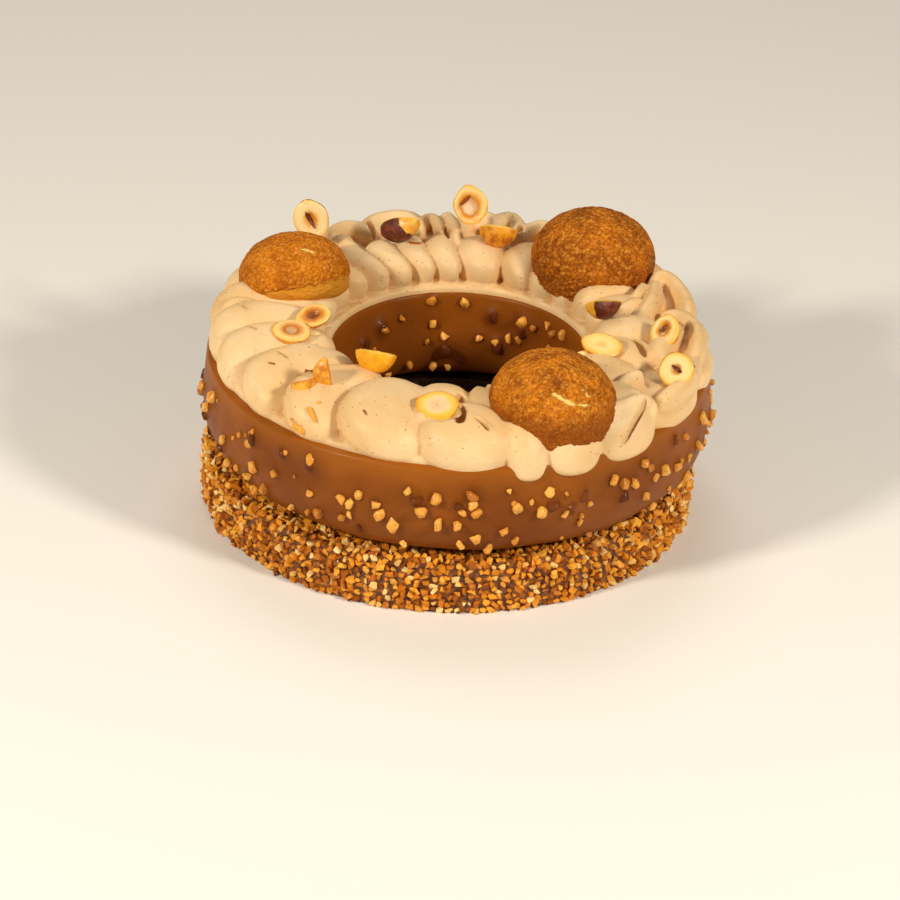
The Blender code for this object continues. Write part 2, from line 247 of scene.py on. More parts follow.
@dataclass(frozen=True)
class CreamFinish:
    """Praline cream: warm beige, satin, with ground nut specks, small air holes and painted shade in the
    creases between the turns.
    """

    light: Colour = tone(240, 207, 158)
    shade: Colour = tone(230, 190, 133)
    # Colour of the painted shade in the creases between the turns.
    crease_shade: Colour = tone(190, 132, 70)
    dark_speck: Colour = tone(116, 70, 40)
    orange_speck: Colour = tone(188, 112, 42)

    def build(self) -> bpy.types.Material:
        """Build the material."""
        bench = Bench("praline_cream_satin")
        place = bench.place()
        base = bench.mix(bench.noise(place, 45.0, 3.0).step(0.35, 0.65), self.light, self.shade)
        # Painted shade: darken the creases between the turns.
        base = bench.mix(bench.mark("crease_shade") * 0.42, base, self.crease_shade)
        fine = bench.noise(place, 1500.0, 2.0)
        base = bench.mix(fine.step(0.42, 0.64) * 0.25, base, self.shade)
        dust = self._specks(bench, place, 620.0, 0.12, 0.30)
        base = bench.mix(dust * 0.45, base, self.orange_speck)
        orange = self._specks(bench, place, 200.0, 0.072, 0.35)
        base = bench.mix(orange * 0.70, base, self.orange_speck)
        dark = self._specks(bench, place, 360.0, 0.085, 0.42)
        base = bench.mix(dark * 0.85, base, self.dark_speck)
        holes = self._specks(bench, place, 240.0, 0.11, 0.5)
        height = bench.noise(place, 420.0, 3.0) * 0.35 + fine * 0.10 - holes * 0.9
        normal = bench.bump(height, 0.00022)
        roughness = bench.noise(place, 300.0) * 0.12 + 0.40
        return bench.finish(base, roughness, normal, Subsurface_Weight=0.06, Subsurface_Scale=0.0012,
                            Subsurface_Radius=(1.0, 0.55, 0.25), Specular_IOR_Level=0.28)

    @staticmethod
    def _specks(bench: Bench, place: Link, scale: float, size: float, share: float) -> Link:
        """Pick some cells and mark a small dot at the middle of each.

        Args:
            bench: the material's bench.
            place: the coordinates.
            scale: cells for each metre.
            size: radius of a dot as a share of a cell.
            share: the share of the cells left without a dot.

        Returns:
            A mask of the dots.
        """
        dot = bench.cells(place, scale).step(size * 1.35, size * 0.75)
        pick = bench.part(bench.cells(place, scale, "Color")).step(share, share + 0.05)
        return dot * pick


@dataclass(frozen=True)
class GlazeFinish:
    """Milk-chocolate glaze: warmer near the ring's top edge, partly painted light, with painted shade in the
    hole, low down under the belly and round a nut.
    """

    name: str = "milk_glaze"
    body: Colour = tone(150, 82, 18)
    # A darker tone at random, also used as painted shade in the hole and under the belly.
    deep: Colour = tone(120, 61, 12)
    # Warmth of the top edge, partly painted light, and of the fine grain.
    warm: Colour = tone(166, 94, 22)
    roughness: float = 0.40
    # Colour of the painted shade round each nut.
    rim: Colour = tone(78, 34, 6)

    def build(self) -> bpy.types.Material:
        """Build the material."""
        bench = Bench(self.name)
        place = bench.place()
        base = bench.mix(bench.noise(place, 28.0, 3.0).step(0.3, 0.7), self.body, self.deep)
        height = bench.part(place, 2)
        # Warmer towards the top edge: partly thinner glaze, partly painted light from the lit cream above.
        edge = height.step(0.0480, 0.0590)
        base = bench.mix(edge * 0.55, base, self.warm)
        # Painted shade: darker in the hole.
        base = bench.mix(bench.radius(place).step(0.062, 0.052) * 0.45, base, self.deep)
        # Painted shade: darker low down, under the ring's belly.
        base = bench.mix(height.step(0.0440, 0.0240) * 0.6, base, self.deep)
        grain = bench.noise(place, 2600.0, 1.0)
        base = bench.mix(grain.step(0.55, 0.75) * 0.22, base, self.warm)
        # Round each nut: painted shade, and glaze smeared darker there.
        base = bench.mix(bench.mark("nut_shade") * 0.65, base, self.rim)
        relief = bench.noise(place, 240.0, 3.0) * 0.7 + bench.noise(place, 900.0, 2.0) * 0.3
        normal = bench.bump(relief, 0.00022)
        roughness = bench.noise(place, 110.0, 2.0) * 0.16 + (self.roughness - 0.06)
        return bench.finish(base, roughness, normal, Coat_Weight=0.03, Coat_Roughness=0.20,
                            Specular_IOR_Level=0.11)


@dataclass(frozen=True)
class NutBitFinish:
    """Chopped roasted nut: each piece has its own tint, with a darker skin here and there."""

    name: str
    light: Colour
    middle: Colour
    dark: Colour
    roughness: float = 0.48
    coat: float = 0.06

    def build(self) -> bpy.types.Material:
        """Build the material."""
        bench = Bench(self.name)
        place = bench.place()
        tint = bench.mark("tint")
        base = bench.ramp(tint, ((0.0, self.dark), (0.45, self.middle), (1.0, self.light)))
        mottle = bench.noise(place, 700.0, 3.0)
        base = bench.mix(mottle.step(0.52, 0.72) * 0.55, base, self.dark)
        pale = bench.noise(place, 520.0, 2.0)
        base = bench.mix(pale.step(0.58, 0.74) * 0.40, base, self.light)
        normal = bench.bump(bench.noise(place, 1300.0, 3.0), 0.00018)
        roughness = mottle * 0.2 + (self.roughness - 0.1)
        return bench.finish(base, roughness, normal, Coat_Weight=self.coat, Coat_Roughness=0.25,
                            Specular_IOR_Level=0.2)


@dataclass(frozen=True)
class CrumbCoreFinish:
    """The caramel that holds the crust's nuts together, seen in the gaps between them, with painted shade
    towards the hole.
    """

    dark: Colour = tone(92, 48, 14)
    light: Colour = tone(168, 98, 32)
    # Colour of the painted shade in the hole.
    hole_shade: Colour = tone(40, 19, 6)

    def build(self) -> bpy.types.Material:
        """Build the material."""
        bench = Bench("crust_caramel")
        place = bench.place()
        patch = bench.noise(place, 420.0, 3.0)
        base = bench.mix(patch.step(0.4, 0.7), self.dark, self.light)
        # Painted shade: the core goes almost black towards the hole.
        base = bench.mix(bench.radius(place).step(0.068, 0.060), base, self.hole_shade)
        normal = bench.bump(bench.cells(place, 520.0), 0.0006)
        return bench.finish(base, patch * 0.2 + 0.35, normal, Specular_IOR_Level=0.5)


@dataclass(frozen=True)
class ChouxFinish:
    """Choux under a craquelin of brown sugar: sandy, toasted in patches, pale where it has cracked, with
    painted shade towards the bottom.
    """

    name: str = "craquelin"
    toasted: Colour = tone(139, 70, 8)
    golden: Colour = tone(202, 112, 20)
    sugar: Colour = tone(236, 158, 60)
    pale: Colour = tone(244, 208, 120)
    yolk: Colour = tone(214, 144, 42)
    patch: float = 0.5
    # How much painted shade darkens the bun towards its bottom.
    bottom_shade: float = 0.45

    def build(self) -> bpy.types.Material:
        """Build the material."""
        bench = Bench(self.name)
        place = bench.place()
        patches = bench.noise(place, 130.0, 4.0, 0.6)
        grains = bench.cells(place, 760.0)
        each = bench.part(bench.cells(place, 760.0, "Color"))
        base = bench.mix(patches.step(self.patch - 0.17, self.patch + 0.17), self.toasted, self.golden)
        base = bench.mix(each.step(0.50, 0.95) * 0.62, base, self.sugar)
        base = bench.mix(grains.step(0.35, 0.75) * 0.40, base, self.toasted)
        crumb = bench.noise(place, 980.0, 3.0, 0.6)
        base = bench.mix(crumb.step(0.52, 0.62) * 0.62, base, self.toasted)
        base = bench.mix(crumb.step(0.46, 0.34) * 0.40, base, self.sugar)
        fleck = bench.noise(place, 420.0, 3.0)
        base = bench.mix(fleck.step(0.58, 0.72) * 0.50, base, self.toasted)
        # Painted shade: the toasted colour darkens the bun towards its bottom.
        low = bench.part(place, 2).step(0.0800, 0.0710)
        base = bench.mix(low * self.bottom_shade, base, self.toasted)
        crack = bench.mark("crack")
        base = bench.mix(crack, base, self.pale)
        under = bench.mark("under")
        base = bench.mix(under, base, self.yolk)
        plain = (1.0 - crack) * (1.0 - under)
        relief = (1.0 - grains) * plain * 0.6 + fleck * 0.4 + crumb * 0.5
        normal = bench.bump(relief, 0.00130)
        roughness = each.step(0.86, 1.0) * -0.30 + 0.66
        return bench.finish(base, roughness, normal, Specular_IOR_Level=0.11)


@dataclass(frozen=True)
class NutLook:
    """How one halved hazelnut looks.

    Attributes:
        face: colours from the middle of the cut face to its rim, as ramp stops.
        hollow: length, width and depth of the hollow, as shares of the half nut.
        dome: the two colours of the rounded back.
        skin: where brown skin is left, as a direction in the nut and a share from -1 (all) to 1 (none).
        ragged: how uneven the edge of the skin is.
        middle: where the rings of the face have their middle.
        slit: a dark slit in the face, as its middle, half length, half width and angle.
        slit_colour: the slit's colour.
    """

    face: tuple[tuple[float, Colour], ...]
    hollow: tuple[float, float, float]
    dome: tuple[Colour, Colour] = (tone(244, 182, 60), tone(226, 144, 30))
    skin: tuple[float, float, float, float] = (0.0, 0.0, -1.0, 2.0)
    ragged: float = 0.9
    middle: tuple[float, float] = (0.0, 0.0)
    slit: tuple[float, float, float, float, float] = (0.0, 0.0, 0.001, 0.001, 0.0)
    slit_colour: Colour = tone(104, 50, 12)


PALE_NUT = tone(250, 226, 170)
CREAMY_NUT = tone(246, 214, 146)
YELLOW_NUT = tone(248, 194, 66)
ORANGE_NUT = tone(216, 132, 34)
ROAST_NUT = tone(168, 88, 20)
PINK_NUT = tone(240, 206, 172)
SKIN_NUT = tone(92, 34, 18)
PLAIN_FACE = ((0.0, CREAMY_NUT), (0.6, PALE_NUT), (1.0, YELLOW_NUT))
PLAIN_HOLLOW = (0.5, 0.3, 0.14)


class Look(Enum):
    """The looks of the halved nuts."""

    SPLIT = NutLook(((0.0, ORANGE_NUT), (0.28, tone(228, 152, 50)), (0.46, CREAMY_NUT), (0.72, PALE_NUT),
                     (1.0, tone(248, 206, 118))), (0.42, 0.16, 0.20), skin=(1.0, 0.2, -0.5, 0.35),
                    slit=(-0.05, 0.0, 0.50, 0.13, 105.0))
    CAVITY = NutLook(((0.0, PINK_NUT), (0.36, tone(236, 196, 150)), (0.50, tone(206, 126, 44)),
                      (0.62, tone(234, 164, 56)), (0.80, CREAMY_NUT), (1.0, YELLOW_NUT)),
                     (0.55, 0.46, 0.30), middle=(-0.14, -0.12), slit=(-0.26, 0.26, 0.46, 0.12, 28.0),
                     slit_colour=tone(150, 82, 22))
    ROASTED = NutLook(((0.0, tone(190, 144, 104)), (0.20, tone(214, 166, 114)),
                       (0.36, tone(198, 116, 36)), (0.54, tone(224, 152, 54)),
                       (0.74, tone(244, 202, 116)), (1.0, tone(248, 206, 112))), (0.40, 0.36, 0.16))
    SCORCHED = NutLook(((0.0, tone(108, 52, 10)), (0.32, tone(166, 90, 20)), (0.60, tone(222, 142, 44)),
                        (0.82, tone(244, 200, 112)), (1.0, tone(248, 206, 112))), (0.40, 0.30, 0.18))
    BLUSH = NutLook(((0.0, tone(176, 128, 92)), (0.09, tone(232, 188, 138)), (0.46, tone(240, 202, 146)),
                     (0.58, tone(242, 200, 116)), (0.68, YELLOW_NUT), (1.0, tone(242, 176, 44))),
                    (0.40, 0.34, 0.06), (tone(246, 184, 44), tone(232, 156, 30)))
    EYE = NutLook(((0.0, tone(176, 96, 26)), (0.24, tone(214, 142, 52)), (0.40, CREAMY_NUT),
                   (0.76, tone(248, 210, 132)), (1.0, tone(240, 178, 62))), (0.30, 0.18, 0.20),
                  skin=(-1.0, 0.5, -0.2, 0.55), middle=(0.05, 0.0), slit=(0.06, 0.02, 0.40, 0.13, -38.0))
    PLAIN = NutLook(((0.0, tone(238, 186, 92)), (0.40, tone(250, 216, 140)), (0.78, tone(248, 206, 116)),
                     (1.0, tone(240, 176, 62))), (0.6, 0.25, 0.10))
    BOWL = NutLook(((0.0, tone(216, 156, 84)), (0.34, tone(196, 126, 50)), (0.50, tone(228, 166, 70)),
                    (0.64, CREAMY_NUT), (1.0, tone(244, 188, 72))), (0.50, 0.46, 0.42),
                   middle=(-0.16, 0.18), slit=(-0.22, 0.24, 0.34, 0.16, 40.0),
                   slit_colour=tone(136, 74, 24))
    GOLDEN = NutLook(PLAIN_FACE, PLAIN_HOLLOW, (tone(240, 164, 36), tone(184, 100, 16)))
    YELLOW = NutLook(((0.0, ROAST_NUT), (0.25, ORANGE_NUT), (0.5, YELLOW_NUT), (1.0, YELLOW_NUT)),
                     PLAIN_HOLLOW, (tone(248, 182, 32), tone(234, 154, 18)),
                     (0.95, 0.26, -0.22, 0.982), 0.06)
    IN_SKIN = NutLook(PLAIN_FACE, PLAIN_HOLLOW, (tone(246, 190, 74), tone(228, 150, 40)),
                      (0.0, -1.0, -0.2, -0.45), 0.5)
    HALF_SKIN = NutLook(PLAIN_FACE, PLAIN_HOLLOW, (tone(248, 190, 66), tone(238, 164, 36)),
                        (0.0, 1.0, -0.1, -0.08), 0.5)
    WEDGE = NutLook(((0.0, YELLOW_NUT), (0.5, tone(236, 164, 54)), (1.0, ORANGE_NUT)), (0.5, 0.3, 0.10),
                    (tone(244, 178, 56), tone(200, 118, 28)))


@dataclass(frozen=True)
class HazelnutFinish:
    """Blanched or roasted hazelnut: a cut face, a rounded back and what is left of the skin."""

    name: str
    look: NutLook
    skin: Colour = SKIN_NUT
    skin_light: Colour = tone(140, 62, 30)

    def build(self) -> bpy.types.Material:
        """Build the material."""
        bench = Bench(self.name)
        place = bench.place()
        local = bench.mark("nut_place", "Vector")
        mottle = bench.noise(place, 380.0, 3.0)
        reach = bench.mark("nut_reach") + (mottle - 0.5) * 0.22
        face = bench.ramp(reach, self.look.face)
        streaks = bench.noise(place, 260.0, 4.0, 0.6)
        dome = bench.mix(streaks.step(0.40, 0.66), self.look.dome[0], self.look.dome[1])
        cut = bench.mark("nut_cut")
        face = bench.mix(self._slit(bench, local, mottle), face, self.look.slit_colour)
        base = bench.mix(cut, dome, face)
        base = bench.mix(bench.noise(place, 900.0).step(0.64, 0.76) * 0.4, base, ROAST_NUT)
        x, y, z, share = self.look.skin
        aim = {"operation": "DOT_PRODUCT"}
        toward = bench.node("VectorMath", aim, {0: local, 1: (x, y, z)}, "Value")
        bare = toward + (mottle - 0.5) * self.look.ragged
        skin = bare.step(share, share + 0.08) * (1.0 - cut)
        skin_colour = bench.mix(streaks.step(0.45, 0.7), self.skin, self.skin_light)
        base = bench.mix(skin, base, skin_colour)
        wrinkles = bench.noise(place, 650.0, 4.0, 0.65)
        normal = bench.bump(wrinkles * (skin + 0.35), 0.00035)
        roughness = mottle * 0.16 + 0.32
        return bench.finish(base, roughness, normal, Coat_Weight=0.10, Coat_Roughness=0.2,
                            Subsurface_Weight=0.10, Subsurface_Scale=0.0012,
                            Subsurface_Radius=(1.0, 0.6, 0.25), Specular_IOR_Level=0.4)

    def _slit(self, bench: Bench, local: Link, mottle: Link) -> Link:
        """Mark the dark slit in the cut face."""
        x, y, long_half, wide_half, angle = self.look.slit
        turn = math.radians(angle)
        right = bench.part(local, 0) - x
        up = bench.part(local, 1) - y
        along = (right * math.cos(turn) + up * math.sin(turn)) * (1 / long_half)
        across = (up * math.cos(turn) - right * math.sin(turn)) * (1 / wide_half)
        reach = along * along + across * across + (mottle - 0.5) * 0.8
        return reach.step(1.25, 0.55)


@dataclass(frozen=True)
class FloorFinish:
    """A plain pale matt floor."""

    colour: Colour = tone(246, 243, 238)

    def build(self) -> bpy.types.Material:
        """Build the material."""
        bench = Bench("pale_floor")
        cloud = bench.noise(bench.place(), 3.0, 2.0)
        base = bench.mix(cloud * 0.06, self.colour, tone(232, 226, 218))
        return bench.finish(base, 0.65, Specular_IOR_Level=0.25)


def to_mesh(form: bmesh.types.BMesh, name: str) -> bpy.types.Mesh:
    """Write a bmesh into a new mesh and free it."""
    mesh = bpy.data.meshes.new(name)
    form.to_mesh(mesh)
    form.free()
    return mesh


def new_piece(name: str, mesh: bpy.types.Mesh,
              material: bpy.types.Material | None = None) -> bpy.types.Object:
    """Put a mesh into the scene as an object at the origin."""
    piece = bpy.data.objects.new(name, mesh)
    bpy.context.scene.collection.objects.link(piece)
    if material is not None:
        mesh.materials.clear()
        mesh.materials.append(material)
    return piece


def serve(piece: bpy.types.Object, nodes: Iterable[str] = ()) -> None:
    """Let a finished piece ride with the cake.

    Args:
        piece: the finished piece.
        nodes: the CAD nodes that it stands for.
    """
    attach(piece, BODY)
    nodes = tuple(nodes)
    if nodes:
        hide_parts(*nodes)
    piece.data.calc_loop_triangles()
    LOG.info("%s: %d triangles", piece.name, len(piece.data.loop_triangles))


def apply_modifiers(piece: bpy.types.Object) -> None:
    """Write an object's modifiers into its mesh."""
    seen = piece.evaluated_get(bpy.context.evaluated_depsgraph_get())
    mesh = bpy.data.meshes.new_from_object(seen)
    piece.modifiers.clear()
    old = piece.data
    piece.data = mesh
    bpy.data.meshes.remove(old)


def hang_up(data: bpy.types.Camera | bpy.types.Light, place: Vector, aim: Vector,
            roll: float = 0.0) -> bpy.types.Object:
    """Put a lamp or a camera into the scene so that it looks at a point."""
    holder = bpy.data.objects.new(data.name, data)
    look = (aim - place).to_track_quat("-Z", "Y").to_matrix().to_4x4()
    tilt = Matrix.Rotation(math.radians(roll), 4, "Z")
    holder.matrix_world = Matrix.Translation(place) @ look @ tilt
    bpy.context.scene.collection.objects.link(holder)
    return holder


def write_mark(mesh: bpy.types.Mesh, name: str, values: Iterable[float]) -> None:
    """Store one number for each point of a mesh."""
    layer = mesh.attributes.new(name, "FLOAT", "POINT")
    layer.data.foreach_set("value", list(values))


def shade_with_edges(mesh: bpy.types.Mesh, angle: float) -> None:
    """Shade a mesh smooth and keep the edges sharper than an angle."""
    mesh.shade_smooth()
    mesh.set_sharp_from_angle(angle=math.radians(angle))


def append_form(form: bmesh.types.BMesh, part: bmesh.types.BMesh) -> None:
    """Add a bmesh to another one and free it."""
    mesh = to_mesh(part, "part")
    form.from_mesh(mesh, face_normals=False, vertex_normals=False)
    bpy.data.meshes.remove(mesh)


def spin_section(section: Iterable[tuple[float, float]], steps: int) -> bmesh.types.BMesh:
    """Spin a closed section of (radius, height) points once around the axis.

    Args:
        section: the section's points in order.
        steps: steps of the full turn.

    Returns:
        The closed ring as a bmesh with its faces outwards.
    """
    form = bmesh.new()
    corners = [form.verts.new((radius, 0.0, height)) for radius, height in section]
    edges = [form.edges.new(pair) for pair in zip(corners, corners[1:] + corners[:1])]
    bmesh.ops.spin(form, geom=corners + edges, cent=(0.0, 0.0, 0.0), axis=(0.0, 0.0, 1.0),
                   angle=math.tau, steps=steps, use_merge=True)
    bmesh.ops.remove_doubles(form, verts=form.verts, dist=0.000001)
    bmesh.ops.recalc_face_normals(form, faces=form.faces)
    return form


class ChunkPile:
    """A heap of chopped nut pieces that becomes one mesh, each piece with its own tint."""

    def __init__(self, seed: int, shapes: int, corners: int, trim: float = 0.0) -> None:
        """Cut the few shapes that the pile repeats.

        Args:
            seed: seed of the pile's random numbers.
            shapes: how many different shapes there are.
            corners: corners of a shape before it is trimmed.
            trim: how far its edges are taken off, as a share of its half size.
        """
        self.draw = random.Random(seed)
        self.form = bmesh.new()
        self.tints: list[float] = []
        self.shapes = [self._cut(corners, trim) for _ in range(shapes)]

    def _cut(self, corners: int, trim: float) -> bpy.types.Mesh:
        """Make one chopped shape as the hull of a few corners."""
        form = bmesh.new()
        for _ in range(corners):
            spot = Vector([self.draw.gauss(0.0, 1.0) for _ in range(3)])
            form.verts.new(spot.normalized() * self.draw.uniform(0.82, 1.0))
        bmesh.ops.convex_hull(form, input=form.verts)
        loose = [vertex for vertex in form.verts if not vertex.link_faces]
        bmesh.ops.delete(form, geom=loose, context="VERTS")
        if trim:
            bmesh.ops.bevel(form, geom=form.edges[:], offset=trim, offset_type="OFFSET", affect="EDGES",
                            segments=1, profile=0.5, material=-1, clamp_overlap=True)
        bmesh.ops.recalc_face_normals(form, faces=form.faces)
        return to_mesh(form, "chopped_shape")

    def add(self, place: Vector, sizes: tuple[float, float, float], frame_turn: Matrix | None = None,
            tint: float | None = None) -> None:
        """Drop one more piece on the pile.

        Args:
            place: the middle of the piece.
            sizes: its three half sizes.
            frame_turn: how it lies, or None for any way.
            tint: its tint from 0 to 1, or None for any.
        """
        shape = self.draw.choice(self.shapes).copy()
        spin = Matrix.Rotation(self.draw.uniform(0.0, math.tau), 4, "Z")
        if frame_turn is None:
            axis = Vector([self.draw.gauss(0.0, 1.0) for _ in range(3)])
            frame_turn = Matrix.Rotation(self.draw.uniform(0.0, math.tau), 4, axis)
        shape.transform(Matrix.Translation(place) @ frame_turn @ Matrix.Diagonal((*sizes, 1.0)) @ spin)
        self.form.from_mesh(shape, face_normals=False, vertex_normals=False)
        self.tints += [self.draw.random() if tint is None else tint] * len(shape.vertices)
        bpy.data.meshes.remove(shape)

    def piece(self, name: str, material: bpy.types.Material, lowest: float | None = None,
              flat: bool = True) -> bpy.types.Object:
        """Turn the pile into a piece.

        Args:
            name: the piece's name.
            material: its material.
            lowest: a height that nothing reaches below.
            flat: whether its facets stay flat.

        Returns:
            The piece.
        """
        if lowest is not None:
            for vertex in self.form.verts:
                vertex.co.z = max(lowest, vertex.co.z)
        mesh = to_mesh(self.form, name)
        write_mark(mesh, "tint", self.tints)
        if not flat:
            mesh.shade_smooth()
        for shape in self.shapes:
            bpy.data.meshes.remove(shape)
        return new_piece(name, mesh, material)


@dataclass
class NutCrust:
    """The low crust: chopped nuts packed around a caramel core."""

    shift: float = -0.0027
    outer: float = 0.0903
    inner: float = 0.0500
    height: float = 0.0215
    bury: float = 0.0014
    pitch: float = 0.0027
    ledge: float = 0.0730
    inner_ledge: float = 0.0550
    seed: int = 21

    def build(self) -> None:
        """Build the core and the grains."""
        self._core()
        self._grains()

    def _core(self) -> None:
        """Build the caramel core, a little inside the grains."""
        low, high = 0.0003, self.height - self.bury
        section = ((self.outer - self.bury, low), (self.outer - self.bury, high - 0.0008),
                   (self.outer - self.bury - 0.0012, high), (self.inner + self.bury, high),
                   (self.inner + self.bury, low))
        form = spin_section(section, 240)
        bmesh.ops.translate(form, vec=(self.shift, 0.0, 0.0), verts=form.verts)
        piece = new_piece("crust_core", to_mesh(form, "crust_core"), CrumbCoreFinish().build())
        shade_with_edges(piece.data, 40)
        serve(piece, ["nut_crust"])

    def _rows(self) -> Iterator[tuple[float, float, float]]:
        """List the rows of grains as radius, height and pitch along the row."""
        height = 0.0014
        while height < self.height - 0.0006:
            yield self.outer - 0.0012, height, self.pitch
            height += self.pitch * 0.92
        radius = self.outer - 0.0022
        while radius > self.ledge:
            yield radius, self.height - 0.0012, self.pitch
            radius -= self.pitch * 0.92
        height = 0.0014
        while height < self.height - 0.0060:
            yield self.inner + 0.0012, height, self.pitch * 1.3
            height += self.pitch

    def _grains(self) -> None:
        """Pack the grains in uneven rows over all that shows of the core, with only brown grains in the hole
        as painted shade.
        """
        golden = NutBitFinish("crust_nut_golden", tone(248, 182, 64), tone(232, 150, 36), tone(190, 106, 16))
        brown = NutBitFinish("crust_nut_brown", tone(218, 134, 36), tone(190, 106, 20), tone(136, 68, 8))
        pale = NutBitFinish("crust_nut_pale", tone(252, 222, 150), tone(242, 192, 104), tone(214, 146, 58))
        kinds = (("crust_grains_golden", 0.50, golden), ("crust_grains_brown", 0.30, brown),
                 ("crust_grains_pale", 0.20, pale))
        piles = [ChunkPile(self.seed + number, 9, 13) for number in range(len(kinds))]
        shares = [share for _, share, _ in kinds]
        draw = random.Random(self.seed)
        for radius, height, pitch in self._rows():
            count = round(math.tau * radius / pitch)
            for number in range(count):
                angle = 360 * (number + draw.uniform(-0.35, 0.35)) / count
                size = 0.5 * min(0.0056, max(0.0024, draw.gauss(0.0040, 0.0008)))
                push = draw.uniform(-0.0007, 0.0007)
                place = around(angle, radius + push, height + draw.uniform(-0.0006, 0.0006))
                place.x += self.shift
                sizes = (size, size * draw.uniform(0.6, 0.9), size * draw.uniform(0.5, 0.8))
                # Inside the hole only brown grains are used, darker as painted shade.
                pile = piles[1] if radius < self.inner_ledge else draw.choices(piles, shares)[0]
                pile.add(place, sizes)
        for pile, (name, _, finish) in zip(piles, kinds):
            piece = pile.piece(name, finish.build(), lowest=0.0)
            serve(piece, ["nut_crust"])


# Chopped nuts that the photographed side shows in the glaze: angle, height and size in mm
OUTSIDE_BITS = (
    (199, 51, 4.7), (207, 41, 3.9), (208, 32, 3.8), (212, 33, 2.7), (214, 25, 2.2), (214, 48, 2.2),
    (217, 34, 4.4), (217, 50, 2.3), (218, 28, 3.6), (218, 48, 3.4), (219, 53, 2.2), (220, 40, 4.3),
    (223, 33, 3.9), (227, 42, 2.9), (230, 52, 2.4), (231, 30, 3.0), (236, 31, 2.9), (237, 40, 2.7),
    (237, 53, 4.5), (239, 33, 4.0), (245, 34, 2.9), (245, 42, 3.9), (247, 41, 3.9), (249, 45, 3.4),
    (247, 36, 2.8), (253, 43, 3.8), (254, 39, 4.6), (257, 36, 5.4), (259, 27, 3.3), (260, 50, 3.5),
    (263, 43, 4.9), (266, 48, 4.9), (267, 38, 4.7), (271, 38, 4.2), (272, 29, 3.9), (272, 43, 3.3),
    (274, 50, 5.0), (274, 46, 3.8), (275, 32, 4.1), (275, 43, 3.8), (278, 27, 5.0), (281, 35, 3.5),
    (282, 51, 2.2), (283, 46, 2.2), (284, 30, 3.4), (284, 44, 4.2), (287, 46, 2.2), (289, 42, 4.8),
    (291, 49, 3.9), (295, 40, 4.0), (295, 47, 2.2), (299, 34, 2.7), (299, 37, 2.2), (301, 41, 2.4),
    (303, 26, 3.0), (307, 48, 3.8), (310, 45, 4.2), (313, 44, 4.0), (316, 50, 3.5), (317, 36, 3.5),
    (318, 47, 3.2), (320, 42, 3.0), (323, 27, 3.5), (323, 43, 4.5), (327, 32, 2.2), (328, 41, 3.8),
    (330, 42, 2.5), (332, 50, 2.8), (334, 28, 2.9), (334, 40, 3.7), (335, 32, 4.1), (339, 41, 4.6),
    (342, 50, 5.1), (345, 46, 3.2),
)
INSIDE_BITS = (
    (32, 54, 4.1), (36, 40, 2.2), (40, 46, 3.5), (40, 52, 3.2), (44, 54, 3.3), (48, 31, 3.5),
    (52, 51, 3.6), (59, 52, 5.2), (60, 44, 3.2), (62, 33, 4.6), (65, 44, 3.7), (72, 41, 3.2),
    (80, 42, 3.9), (88, 55, 4.3), (95, 27, 3.3), (97, 42, 3.5), (102, 28, 3.8), (103, 47, 3.2),
    (104, 56, 3.7), (106, 40, 2.2), (114, 30, 3.5), (119, 51, 2.9), (124, 27, 3.5), (130, 48, 5.0),
    (136, 42, 2.2), (144, 47, 2.8), (145, 43, 3.9),
)
COATED_BITS = (
    (219, 50, 4.4, False), (237, 51, 4.6, False), (262, 47, 4.8, False), (292, 44, 5.0, False),
    (296, 42, 5.2, False), (299, 45, 4.6, False), (310, 40, 4.6, False), (229, 51, 3.6, False),
    (205, 36, 4.0, False), (249, 31, 3.4, False), (327, 52, 4.0, False), (271, 46, 3.6, False),
    (74, 51, 5.0, True), (71, 39, 5.2, True), (131, 50, 5.0, True), (143, 46, 5.4, True),
    (96, 37, 7.0, True), (58, 47, 4.0, True),
)


